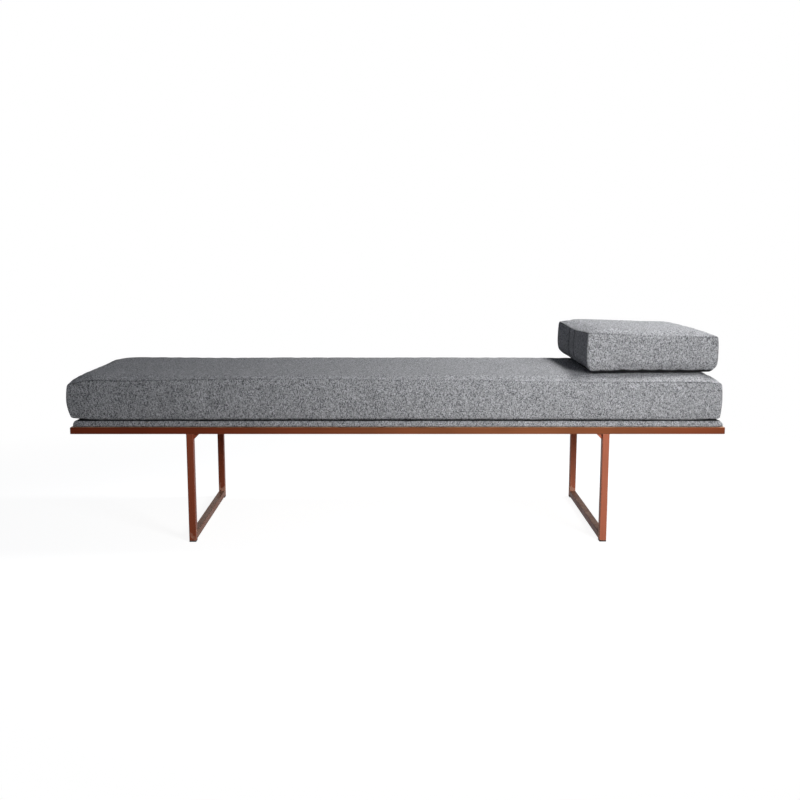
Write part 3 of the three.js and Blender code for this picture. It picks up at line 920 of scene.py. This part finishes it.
def make_cushion(name, size, lifts, turned_up, place, step, ceiling, seed):
    piece = boxed_shell(name, size, step)
    rest = read_points(piece.data)
    gap_x, gap_y = edge_gaps(rest, size["half"])
    off_zip = np.abs(rest[:, 2] - size["side"] / 2)
    back = size["half"][1]
    seam = seam_nearness(size, rest, SEAM_WIDTH)
    near_zip = (rest[:, 1] > back - 0.004) & (off_zip < ZIP_STRIP)
    on_bottom = rest[:, 2] < 1e-6
    at_corner = (gap_x < CORNER_HELD) & (gap_y < CORNER_HELD)
    least = np.full(len(rest), LEAST_HOLD)
    hold = np.maximum.reduce([on_bottom, near_zip, 0.9 * seam, 1.0 * at_corner, least])
    gather = seam_nearness(size, rest, GATHER_WIDTH)
    points = rest + puff(piece, hold, gather, AIR_PRESSURE, MOST_PUFFED)

    points[:, 2] += lifts_at(points, lifts) * np.clip(points[:, 2] / size["side"], 0, 1)
    points[:, 2] = np.where(on_bottom, 0.0, np.maximum(points[:, 2], 0.0002))
    tuck_ends(size, points)
    points[:, 2] -= size["sag"] * sag_share(size, points)
    points[:, 2] += lifts_at(points, turned_up) * fade(points[:, 2], 0.5 * size["side"]) ** 2
    in_fold = near_zip & (off_zip < ZIP_FOLD) & (np.abs(rest[:, 0]) < size["zip"] / 2)
    sink = SEAM_SINK * seam + ZIP_SINK * in_fold
    points -= read_points(piece.data, "normal") * sink[:, None]
    write_points(piece.data, points)
    # Below a set height the cloth is painted near-black, as the shade in the crevice underneath.
    mark(piece, seam, np.clip((size["shade_cloth_height"] - rest[:, 2]) / 0.001, 0, 1))

    mesh = subdivide(piece)
    points = read_points(mesh)
    free = np.clip(points[:, 2] / 0.03, 0, 1) * (points[:, 1] < back - 0.006)
    wave = sum(amount * uneven(points, reach, seed + more) for amount, reach, more in UNEVEN)
    points += read_points(mesh, "normal") * (wave * free)[:, None]
    points[:, 2] = under_ceiling(points[:, 2], ceiling)
    write_points(mesh, points)
    mesh.transform(place)
    mesh.materials.append(melange)
    print(name, "finished:", len(mesh.polygons), "faces")
    return piece


headrest = make_cushion(
    "headrest", HEADREST, HEADREST_LIFTS, HEADREST_TURNED_UP, HEADREST_PLACE, 0.010, 1.0, 5.0
)
mattress_height = MATTRESS_CEILING - MATTRESS_BOTTOM
mattress = make_cushion(
    "mattress", MATTRESS, MATTRESS_LIFTS, MATTRESS_TURNED_UP, MATTRESS_PLACE, 0.012, mattress_height, 1.0
)
for piece, body in ((mattress, "mattress"), (headrest, "headrest")):
    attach(piece, body)
    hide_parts(f"{body}_cover", f"{body}_wadding", f"{body}_core")

# %% [markdown]
# The deck pad is a thin sheet of foam on the plywood board, with cloth pulled over both and
# stapled underneath. From in front only its soft shoulder shows. It is a tray of cloth upside
# down: over the foam, down the side, under the board as a hem, and inside along the board. The
# same rings that make a cushion make it, with the hem and the inside as further rows.

# %% Deck pad
PAD_HALF = (0.9435, 0.2675)
PAD_CORNER = 0.006
PAD_STEP = 0.020
SHOULDER_FOOT = 0.3560
HEM_FOOT = 0.3432
PAD_ROWS = [  # how far in and how high: down the side, in along the hem, and back out inside
    (0.0, SHOULDER_FOOT), (-0.0012, 0.3535), (-0.0022, 0.3505), (-0.0028, 0.3475), (-0.0022, 0.3450),
    (-0.0008, 0.3436), (0.0022, HEM_FOOT), (0.012, HEM_FOOT), (0.026, HEM_FOOT), (0.040, HEM_FOOT),
    (0.040, 0.3438), (0.020, 0.3438), (0.0016, 0.3438), (0.0016, 0.350), (0.0016, 0.3562),
]
SIDE_FOOT = 0.3445  # above this, what is less far in than the limit is the side, and moves
SIDE_LIMIT = 0.0015
SHOULDER_HELD = (0.3565, 0.032)  # the same for the shoulder
GATHERED_BELOW = 0.350
PAD_PRESSURE, PAD_PUFFED = 3.0, 0.0015
PULL_DEPTH, PULL_PITCH, PULL_FADE = 0.0007, 0.045, 0.010  # how the staples pull the side in
PAD_FLARE = 0.0034  # how far the right end stands out at its foot, and how that goes with height
FLARE_HEIGHTS = (0.3436, 0.3450, 0.3475, 0.3505, 0.3535, 0.3560)
FLARE_SHARES = (0.3, 0.9, 1.0, 0.8, 0.5, 0.0)
# Painted shade: the cloth next to the rail is painted darker, as the shade of the crevice above the rail.
SHADE, SHADE_TOP, SHADE_FADE = 0.8, 0.3475, 0.0035  # the cloth next to the rail is dark
SHADE_CLOTH_FOOT, SHADE_CLOTH_FADE = 0.3598, 0.0004  # above this the pad's shoulder is painted near-black, as shade under the mattress's rim


def pad_shoulder(*insets):
    share = fade(np.minimum(*insets), PAD_SHOULDER)
    return SHOULDER_FOOT + (PAD_TOP - SHOULDER_FOOT) * np.sqrt(1 - share**2)


pad_lines = [grid_lines(half, PAD_STEP) for half in PAD_HALF]
deck_pad = ring_shell("deck_pad", PAD_HALF, PAD_CORNER, pad_lines, PAD_ROWS, pad_shoulder)
rest = read_points(deck_pad.data)
level = rest[:, 2]
inset = np.minimum(*edge_gaps(rest, PAD_HALF))
on_side = (level > SIDE_FOOT) & (inset < SIDE_LIMIT)
outside = on_side | (level > SHOULDER_HELD[0]) & (inset < SHOULDER_HELD[1])
hold = np.where(outside, 0.05, 1.0)
gather = np.where(outside & (level < GATHERED_BELOW), 1.0, 0.0)
moved = rest + puff(deck_pad, hold, gather, PAD_PRESSURE, PAD_PUFFED)
waves = np.cos(2 * math.pi * (rest[:, 0] + rest[:, 1]) / PULL_PITCH)
pulls = PULL_DEPTH * waves * np.clip((SHOULDER_FOOT - level) / PULL_FADE, 0, 1)
moved -= read_points(deck_pad.data, "normal") * (pulls * outside)[:, None]
at_right_end = outside & (rest[:, 0] > PAD_HALF[0] - 0.010)
moved[:, 0] += PAD_FLARE * np.interp(level, FLARE_HEIGHTS, FLARE_SHARES) * at_right_end
moved[:, 2] = np.minimum(moved[:, 2], np.maximum(level, SHOULDER_FOOT))
write_points(deck_pad.data, moved)
# The pad's 'seam' attribute carries this painted shade beside the rail; the near-black cloth on its shoulder
# is painted shade too.
shaded = SHADE * np.clip((SHADE_TOP - level) / SHADE_FADE, 0, 1)
mark(deck_pad, shaded, np.clip((level - SHADE_CLOTH_FOOT) / SHADE_CLOTH_FADE, 0, 1))
subdivide(deck_pad)
deck_pad.data.materials.append(melange)
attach(deck_pad, "frame")
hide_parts("deck_cover", "deck_foam")

# %% [markdown]
# Several small things on a divan repeat along a line: the teeth of a zip, the stitches beside it,
# the staples under the pad and the ripples of a weld. All four are one short bent bar, set again
# and again, so one geometry tree makes them all. It walks along lines, sets a bowed bar at every
# pitch, and turns it so that its crown points the way that the line's own points say.

# %% Bars along lines
bar_row = Pattern(
    "bar_row",
    {
        "Lines": "Geometry",
        "Pitch": 0.0015,
        "Bar Length": 0.0036,
        "Crown": 0.0010,
        "Thickness": 0.0008,
        "Turn": 0.0,
        "Uneven Share": 0.0,
        "Seed": 7,
        "Material": "Material",
    },
    {"Bars": "Geometry"},
    "GeometryNodeTree",
)


def set_out(pattern, points, shape, rotation, **sizes):
    """A copy of a shape at each point, made real and in the finish that the tree was given."""
    copies = {"Points": points, "Instance": shape, "Rotation": rotation, **sizes}
    copies = pattern.get("GeometryNodeInstanceOnPoints", copies)
    real = pattern.get("GeometryNodeRealizeInstances", {0: copies})
    dressed = {"Geometry": real, "Material": pattern.given["Material"]}
    return pattern.get("GeometryNodeSetMaterial", dressed)


def rotation_of(pattern, x=0.0, y=0.0, z=0.0):
    return pattern.get("FunctionNodeEulerToRotation", {0: pattern.combine(x, y, z)})


given = bar_row.given
line = bar_row.get("GeometryNodeMeshToCurve", {0: given["Lines"]})
walk = {"Curve": line, "Length": given["Pitch"]}
walked = bar_row.get("GeometryNodeResampleCurve", walk, mode="LENGTH")
tangent = bar_row.get("GeometryNodeInputTangent")
crown_way = bar_row.get("GeometryNodeInputNamedAttribute", {"Name": "outward"}, data_type="FLOAT_VECTOR")
along_line = bar_row.get("FunctionNodeAlignRotationToVector", {"Vector": tangent}, axis="X")
crown_out = {"Rotation": along_line, "Vector": crown_way}
facing = bar_row.get("FunctionNodeAlignRotationToVector", crown_out, axis="Y", pivot_axis="X")
half_bow = {"Resolution": 6, "Radius": 1.0, "Start Angle": 0.0, "Sweep Angle": math.pi}
bow = bar_row.get("GeometryNodeCurveArc", half_bow, mode="RADIUS")
bow_size = bar_row.combine(bar_row.times(given["Bar Length"], 0.5), given["Crown"], 1.0)
sized = bar_row.get("GeometryNodeTransform", {"Geometry": bow, "Scale": bow_size})
section = {"Resolution": 5, "Radius": bar_row.times(given["Thickness"], 0.5)}
section = bar_row.get("GeometryNodeCurvePrimitiveCircle", section)
bar = {"Curve": sized, "Profile Curve": section, "Fill Caps": True}
bar = bar_row.get("GeometryNodeCurveToMesh", bar)
turn = rotation_of(bar_row, y=given["Turn"])
bar = bar_row.get("GeometryNodeTransform", {"Geometry": bar, "Rotation": turn})
least = bar_row.less(1.0, given["Uneven Share"])
most = bar_row.maths("ADD", 1.0, given["Uneven Share"])
bar_size = bar_row.get("FunctionNodeRandomValue", {2: least, 3: most, 8: given["Seed"]}, 1)
bar_row.give(Bars=set_out(bar_row, walked, bar, facing, Scale=bar_size))

# %% [markdown]
# Running a tree takes four steps, and the export needs all of them: give the modifier its values,
# evaluate the object, keep the result as a plain mesh, and take the modifier away. The lines are
# a mesh of loose edges, whose points carry the direction that is outward there.

# %% Running a geometry tree
def lines_mesh(name, lines):
    """Loose edges. Each line is a start, an end, and the way that is outward along it."""
    points = [point for start, end, way in lines for point in (start, end)]
    mesh = new_mesh(name, points, [(2 * i, 2 * i + 1) for i in range(len(lines))])
    ways = np.repeat([way for start, end, way in lines], 2, axis=0).astype(np.float32)
    mesh.attributes.new("outward", "FLOAT_VECTOR", "POINT").data.foreach_set("vector", ways.ravel())
    return mesh


def grow(name, pattern, start, sizes):
    """Runs a geometry tree on a mesh, and keeps what it makes as a plain mesh."""
    piece = add_object(name, start)
    modifier = piece.modifiers.new("tree", "NODES")
    modifier.node_group = pattern.tree
    for item in pattern.tree.interface.items_tree:
        if item.in_out == "INPUT" and item.name in sizes:
            modifier[item.identifier] = sizes[item.name]
    made = keep_result(piece, modifier)
    made.shade_smooth()
    print(name, "has", len(made.polygons), "faces")
    return piece


# %% [markdown]
# The zips are nylon coil zips on woven tape. The coil's plastic shines a little, the tape is a
# plain dark weave, and the sewing thread is a matt twist. None of them needs a map: their pattern
# is fine, and straight on Object coordinates.

# %% Zip and thread finishes
def nylon_coil():
    finish = Finish("nylon_coil", {"Specular IOR Level": 0.45})
    position = finish.on_object()
    worn = finish.remap(finish.noise(position, 90.0, 3.0), 0.35, 0.65)
    colour = finish.mix_colours(worn, (0.055, 0.056, 0.060, 1), (0.12, 0.12, 0.125, 1))
    grain = finish.noise(position, 2500.0)
    return finish.wear(colour, finish.remap(worn, 0.0, 1.0, 0.38, 0.6), grain, 0.00005)


def woven_tape():
    finish = Finish("woven_tape", {"Specular IOR Level": 0.2})
    place = finish.split(finish.on_object())
    sizes = {"Cloth": finish.combine(place[0], place[2]), "Thread Pitch": 0.0005, "Slub Length": 0.002}
    tones = {"Dark Yarn": (0.06, 0.06, 0.065, 1), "Light Yarn": (0.16, 0.16, 0.17, 1)}
    woven = finish.group(weave, {**sizes, **tones})
    return finish.wear(woven["Color"], woven["Roughness"], woven["Height"], 0.0002)


def twisted_thread():
    finish = Finish("twisted_thread", {"Specular IOR Level": 0.2, "Sheen Weight": 0.2})
    twist = finish.get("ShaderNodeMapping", {"Vector": finish.on_object(), "Rotation": (0, 0.6, 0)})
    plies = finish.get("ShaderNodeTexWave", {"Vector": twist, "Scale": 900.0, "Distortion": 0.5}, "Fac")
    colour = finish.mix_colours(plies, (0.10, 0.10, 0.105, 1), (0.24, 0.24, 0.25, 1))
    return finish.wear(colour, finish.remap(plies, 0.0, 1.0, 0.95, 0.8), plies, 0.0001)


coil_finish, tape_finish, thread_finish = nylon_coil(), woven_tape(), twisted_thread()

# %% [markdown]
# A cushion's zip lies in the back of its side strip: the tape is sewn in behind two folded edges
# of cloth, and the coil shows between them. The tape is a flat bar with thicker edges. The coil,
# its end stops and the two rows of stitches are bars along lines, from the tree above.

# %% Zips
CHAIN_DEPTH = 0.0013  # how deep the coil's foot lies under the cloth
TOOTH = {"Pitch": 0.0015, "Bar Length": 0.0038, "Crown": 0.0011, "Thickness": 0.0009, "Turn": math.pi / 2}
STOP = {"Pitch": 0.0009, "Bar Length": 0.0046, "Crown": 0.0012, "Thickness": 0.0012, "Turn": math.pi / 2}
STITCH = {"Pitch": 0.0034, "Bar Length": 0.0027, "Crown": 0.0003, "Thickness": 0.0004}
STOP_AT = (0.0010, 0.0030)  # from the coil's end to where an end stop begins and ends
STITCH_HEIGHT = 0.0068  # above and below the middle of the zip
STITCH_PAST, TAPE_PAST = 0.006, 0.004  # how far they go on past the coil's ends
TAPE_SECTION = [
    (-0.0031, -0.0017), (0.0031, -0.0017), (0.0033, -0.0014), (0.0031, -0.0011), (0.0026, -0.0010),
    (0.0022, -0.0013), (-0.0022, -0.0013), (-0.0026, -0.0010), (-0.0031, -0.0011), (-0.0033, -0.0014),
]  # height and depth, round the tape
TAPE_STEP = 0.030


def skin(rings, wrap=False):
    """A closed skin over rings of equally many points: capped at both ends, or joined round."""
    around, levels = len(rings[0]), len(rings)
    turns = [(i, (i + 1) % around) for i in range(around)]
    faces = []
    for level in range(levels if wrap else levels - 1):
        here, there = level * around, (level + 1) % levels * around
        faces += [(here + i, here + j, there + j, there + i) for i, j in turns]
    if not wrap:
        faces += [range(around), range((levels - 1) * around, levels * around)]
    mesh = new_mesh("skin", [point for ring in rings for point in ring], faces=faces)
    shell = bmesh.new()
    shell.from_mesh(mesh)
    bmesh.ops.recalc_face_normals(shell, faces=shell.faces)
    shell.to_mesh(mesh)
    shell.free()
    return mesh


def joined(name, meshes, material):
    """One piece of several meshes, all in one finish."""
    whole = bmesh.new()
    for mesh in meshes:
        whole.from_mesh(mesh)
        bpy.data.meshes.remove(mesh)
    made = bpy.data.meshes.new(name)
    whole.to_mesh(made)
    whole.free()
    made.materials.append(material)
    print(name, "has", len(made.polygons), "faces")
    return add_object(name, made)


def make_zip(cushion, length, place):
    """A tape, a coil, end stops and stitches, laid out with X along the zip and Y out of the cloth."""
    half = length / 2

    def line(start, end, depth, height):
        return (start, depth, height), (end, depth, height), (0, 1, 0)

    coil = [line(-half, half, -CHAIN_DEPTH, 0)]
    stops = [line(*(side * (half + gap) for gap in STOP_AT), -CHAIN_DEPTH, 0) for side in (-1, 1)]
    past = half + STITCH_PAST
    stitches = [line(-past, past, 0, height) for height in (-STITCH_HEIGHT, STITCH_HEIGHT)]
    past = half + TAPE_PAST
    stations = np.linspace(-past, past, round(length / TAPE_STEP))
    tape = skin([[(x, depth, height) for height, depth in TAPE_SECTION] for x in stations])
    pieces = [joined(f"{cushion}_zip_tape", [tape], tape_finish)]
    for label, lines, sizes, finish in (
        ("coil", coil, TOOTH, coil_finish),
        ("stops", stops, STOP, coil_finish),
        ("stitches", stitches, STITCH, thread_finish),
    ):
        bars = {**sizes, "Material": finish}
        pieces.append(grow(f"{cushion}_zip_{label}", bar_row, lines_mesh(label, lines), bars))
    for piece in pieces:
        piece.data.transform(place)
        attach(piece, cushion)
        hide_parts(f"{cushion}_zip")


MATTRESS_ZIP = Matrix.Translation((-0.009, MATTRESS["half"][1], MATTRESS_BOTTOM + MATTRESS["side"] / 2))
HEADREST_ZIP = (
    Matrix.Translation((0.740, 0.022, HEADREST_BOTTOM + HEADREST["side"] / 2))
    @ HEADREST_TURN
    @ Matrix.Translation((0, 0.230, 0))
)
make_zip("mattress", MATTRESS["zip"], MATTRESS_ZIP)
make_zip("headrest", HEADREST["zip"], HEADREST_ZIP)

# %% [markdown]
# A zip's slider is cast in zinc. Its plate has the outline of a shield, wide where the two tapes
# come in and narrow where they leave closed. A small bridge stands on the plate, and the eye of
# the pull goes round it. Each of the three is a skin over a few rings of points.

# %% Zip sliders
SLIDER_LENGTH, SLIDER_HEIGHT = 0.012, 0.008
PLATE_LAYERS = [(0.94, 0.0003), (1.0, 0.0006), (1.0, 0.0011), (0.94, 0.0014), (0.80, 0.0015)]
PLATE_TAPER = (0.86, 0.14)  # the plate's height in its middle, and how much more or less at its ends
BRIDGE = {"half": 0.00305, "foot": 0.0010, "rise": 0.0023, "thickness": 0.0009, "width": 0.0030}
PULL_EYE = (0.00225, 0.00195, 0.0017)  # where the eye is, half its length and half its width
PULL_ENDS = (0.00375, 0.01275, 0.0028)  # from the eye: back end, front end, half width
PULL_LAYERS = [(1.0, 0.0018), (1.0, 0.0021), (0.97, 0.0023)]
PULL_FOOT = (0.97, 0.0016)
SQUARENESS = 8  # of the pull's outline


def directions(count):
    """The cosine and the sine of evenly spaced angles, all the way round."""
    return [(math.cos(a), math.sin(a)) for a in np.linspace(0, 2 * math.pi, count, endpoint=False)]


def rounded_outline(half_x, half_y, power, count):
    """Points round a rectangle with soft corners. A higher power gives squarer corners."""
    points = []
    for c, s in directions(count):
        reach = (abs(c) ** power + abs(s) ** power) ** (-1 / power)
        points.append((half_x * reach * c, half_y * reach * s))
    return points


def slider_plate():
    outline = rounded_outline(SLIDER_LENGTH / 2, SLIDER_HEIGHT / 2, 4, 36)
    middle, taper = PLATE_TAPER
    shield = [(x, z * (middle - taper * x / (SLIDER_LENGTH / 2))) for x, z in outline]
    return skin([[(share * x, out, share * z) for x, z in shield] for share, out in PLATE_LAYERS])


def slider_bridge():
    section = rounded_outline(BRIDGE["thickness"] / 2, BRIDGE["width"] / 2, 3, 12)
    rings = []
    for angle in np.linspace(0, math.pi, 11):
        c, s = math.cos(angle), math.sin(angle)
        way = Vector((c / BRIDGE["half"], s / BRIDGE["rise"], 0)).normalized()
        middle = Vector((BRIDGE["half"] * c, BRIDGE["foot"] + BRIDGE["rise"] * s, 0))
        rings.append([middle + u * way + Vector((0, 0, v)) for u, v in section])
    return skin(rings)


def slider_pull():
    eye_x, eye_half, eye_width = PULL_EYE
    back, front, width = PULL_ENDS
    eye = [(eye_x + x, z) for x, z in rounded_outline(eye_half, eye_width, 4, 40)]
    outside = []
    for c, s in directions(40):
        end = front if c > 0 else back
        reach = ((abs(c) / end) ** SQUARENESS + (abs(s) / width) ** SQUARENESS) ** (-1 / SQUARENESS)
        outside.append((eye_x + reach * c, reach * s))

    def outer_ring(share, out):
        return [(eye_x + share * (x - eye_x), out, share * z) for x, z in outside]

    rings = [outer_ring(*layer) for layer in PULL_LAYERS]
    rings += [[(x, out, z) for x, z in eye] for out in (PULL_LAYERS[-1][1], PULL_FOOT[1])]
    return skin([*rings, outer_ring(*PULL_FOOT)], wrap=True)


def make_slider(cushion, length, place):
    piece = joined(f"{cushion}_slider", [slider_plate(), slider_bridge(), slider_pull()], zinc)
    closed = Matrix.Translation(((SLIDER_LENGTH - length) / 2, 0, 0))
    piece.data.transform(place @ closed)
    piece.data.shade_smooth()
    piece.data.set_sharp_from_angle(angle=math.radians(40))
    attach(piece, f"{cushion}_slider")
    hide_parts(f"{cushion}_zip_slider")


make_slider("mattress", MATTRESS["zip"], MATTRESS_ZIP)
make_slider("headrest", HEADREST["zip"], HEADREST_ZIP)

# %% [markdown]
# Six pan head screws hold the board to the bearers from below. Each is turned as on a lathe: a
# line whose radius follows a formula, first the domed head and then the threaded shank. The cross
# recess is cut out with two thin blocks. A tree sets one at each point and turns each by chance.

# %% Deck screws
screws = Pattern(
    "pan_head_screws",
    {
        "Places": "Geometry",
        "Head Radius": 0.0045,
        "Head Height": 0.0030,
        "Shank Radius": 0.0021,
        "Shank Length": 0.0290,
        "Threads": 18.0,
        "Recess Width": 0.0009,
        "Seed": 3,
        "Material": "Material",
    },
    {"Screws": "Geometry"},
    "GeometryNodeTree",
)
given = screws.given
share_along = screws.get("GeometryNodeSplineParameter", output="Factor")


def turned(height, rings, sides, radius):
    """A bar turned on a lathe, from the origin to a height, with a radius that varies along it."""
    axis = screws.get("GeometryNodeCurvePrimitiveLine", {"End": screws.combine(z=height)})
    stepped = screws.get("GeometryNodeResampleCurve", {"Curve": axis, "Count": rings})
    profile = screws.get("GeometryNodeCurvePrimitiveCircle", {"Resolution": sides, "Radius": 1.0})
    sockets = {"Curve": stepped, "Profile Curve": profile, "Scale": radius, "Fill Caps": True}
    return screws.get("GeometryNodeCurveToMesh", sockets)


dome = screws.maths("SQRT", screws.less(1.0, screws.times(share_along, share_along)))
head_down = screws.times(given["Head Height"], -1.0)
head = turned(head_down, 9, 28, screws.times(given["Head Radius"], screws.scaled(dome, 0.55, 0.45)))
wave = screws.maths("PINGPONG", screws.times(share_along, given["Threads"]), 0.5)
point = screws.remap(share_along, 0.9, 1.0, 1.0, 0.3)
shank_radius = screws.times(screws.times(screws.scaled(wave, 0.5, 0.75), point), given["Shank Radius"])
shank = turned(given["Shank Length"], 73, 12, shank_radius)
long_side = screws.times(given["Head Radius"], 1.05)
for sides in ((long_side, given["Recess Width"]), (given["Recess Width"], long_side)):
    block = screws.get("GeometryNodeMeshCube", {"Size": screws.combine(*sides, given["Head Height"])})
    lowered = {"Geometry": block, "Translation": screws.combine(z=head_down)}
    cutting = {"Mesh 1": head, "Mesh 2": screws.get("GeometryNodeTransform", lowered)}
    head = screws.get("GeometryNodeMeshBoolean", cutting, operation="DIFFERENCE")
screw = screws.add("GeometryNodeJoinGeometry", {0: head})
screws.tree.links.new(shank, screw.inputs[0])
chance = screws.get("FunctionNodeRandomValue", {2: 0.0, 3: math.pi, 8: given["Seed"]}, 1)
screws.give(Screws=set_out(screws, given["Places"], screw.outputs[0], rotation_of(screws, z=chance)))

SCREW_NODES = [n for n in nodes if n.startswith("deck_screw_")]
SCREW_RISE = 0.003  # from a screw node's foot to where the head meets the bearer
screw_tops = []
for name in SCREW_NODES:
    low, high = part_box(name)
    screw_tops.append(((low[0] + high[0]) / 2, (low[1] + high[1]) / 2, low[2] + SCREW_RISE))
deck_screws = grow("deck_screws", screws, new_mesh("screw_places", screw_tops), {"Material": zinc})
deck_screws.data.set_sharp_from_angle(angle=math.radians(35))
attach(deck_screws, "frame")
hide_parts(*SCREW_NODES)

# %% [markdown]
# The pad's cloth is stapled to the underside of the board, through its hem. The staples run
# beside the rails, where only someone who looks up from the floor sees them, and leave out the
# places where the bearers cross. They are the same bars along lines, of fine steel wire.

# %% Staples under the pad
STAPLE = {"Pitch": 0.045, "Bar Length": 0.010, "Crown": 0.0006, "Thickness": 0.0007, "Uneven Share": 0.03}
STAPLE_INSET = 0.029  # from the pad's edge
CLEAR_OF_CORNER = 0.03
CLEAR_OF_BEARER = 0.028
BEARERS = [sum(float(v[0]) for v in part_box(f"bearer_{place}")) / 2 for place in ("left", "middle", "right")]


def staple_lines():
    """Lines beside the rails, from bearer to bearer and along both ends."""
    half_x, half_y = (half - STAPLE_INSET for half in PAD_HALF)
    stops = [-half_x, *(x + side * CLEAR_OF_BEARER for x in BEARERS for side in (-1, 1)), half_x]
    short = half_y - CLEAR_OF_CORNER
    between = list(zip(stops[::2], stops[1::2]))
    spans = [((start, y), (end, y)) for y in (-half_y, half_y) for start, end in between]
    spans += [((x, -short), (x, short)) for x in (-half_x, half_x)]
    return [((*start, HEM_FOOT), (*end, HEM_FOOT), (0, 0, -1)) for start, end in spans]


staples = grow("hem_staples", bar_row, lines_mesh("hem", staple_lines()), {**STAPLE, "Material": zinc})
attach(staples, "frame")

# %% [markdown]
# The frame is welded, and a weld leaves a row of ripples, like a fallen stack of coins. On the
# outside of the frame the welds were ground flush. They stay in the inner corners: where each
# bearer meets the rails, where the floor bars meet the posts, and under the rails at the posts.

# %% Welds
WELD = {"Pitch": 0.0015, "Bar Length": 0.0032, "Crown": 0.0009, "Thickness": 0.0020, "Turn": math.pi / 2}
WELD_END = 0.0015  # a weld stops this far from the end of its corner
weld_finish = satin_copper("weld_copper", (300.0, 300.0, 300.0), POST_TONES, LOW_CORNER, 0.030, 0.2)


def bearer_welds(low, high):
    """Both upright corners and the flush seam underneath, at each end of a bearer."""
    lines = []
    for y, inward in ((low[1], 1), (high[1], -1)):
        for x, side in ((low[0], -1), (high[0], 1)):
            lines.append(((x, y, low[2] + WELD_END), (x, y, high[2] - WELD_END), (side, inward, 0)))
        lines.append(((low[0] + WELD_END, y, low[2]), (high[0] - WELD_END, y, low[2]), (0, 0, -1)))
    return lines


def floor_bar_welds(low, high):
    """The upper corner at each end of a floor bar."""
    return [
        ((low[0] + WELD_END, y, high[2]), (high[0] - WELD_END, y, high[2]), (0, inward, 1))
        for y, inward in ((low[1], 1), (high[1], -1))
    ]


def post_welds(low, high):
    """The corner under the rail, on both sides of a post."""
    return [
        ((x, low[1] + 2 * WELD_END, high[2]), (x, high[1] - 2 * WELD_END, high[2]), (side, 0, -1))
        for x, side in ((low[0], -1), (high[0], 1))
    ]


WELDED = {"bearer_": bearer_welds, "floor_bar_": floor_bar_welds, "post_": post_welds}
weld_lines = []
for name in nodes:
    for start, weld in WELDED.items():
        if name.startswith(start):
            weld_lines += weld(*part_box(name))
weld_sizes = {**WELD, "Uneven Share": 0.10, "Seed": 11, "Material": weld_finish}
welds = grow("frame_welds", bar_row, lines_mesh("corners", weld_lines), weld_sizes)
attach(welds, "frame")

# %% [markdown]
# Before the end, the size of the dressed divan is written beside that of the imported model, so
# that the two can be compared after each picture.

# %% Sizes and finish
dressed_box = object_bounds()
for label, box in (("packed", cad_box), ("dressed", dressed_box)):
    print(label, [[round(v, 4) for v in corner] for corner in box])
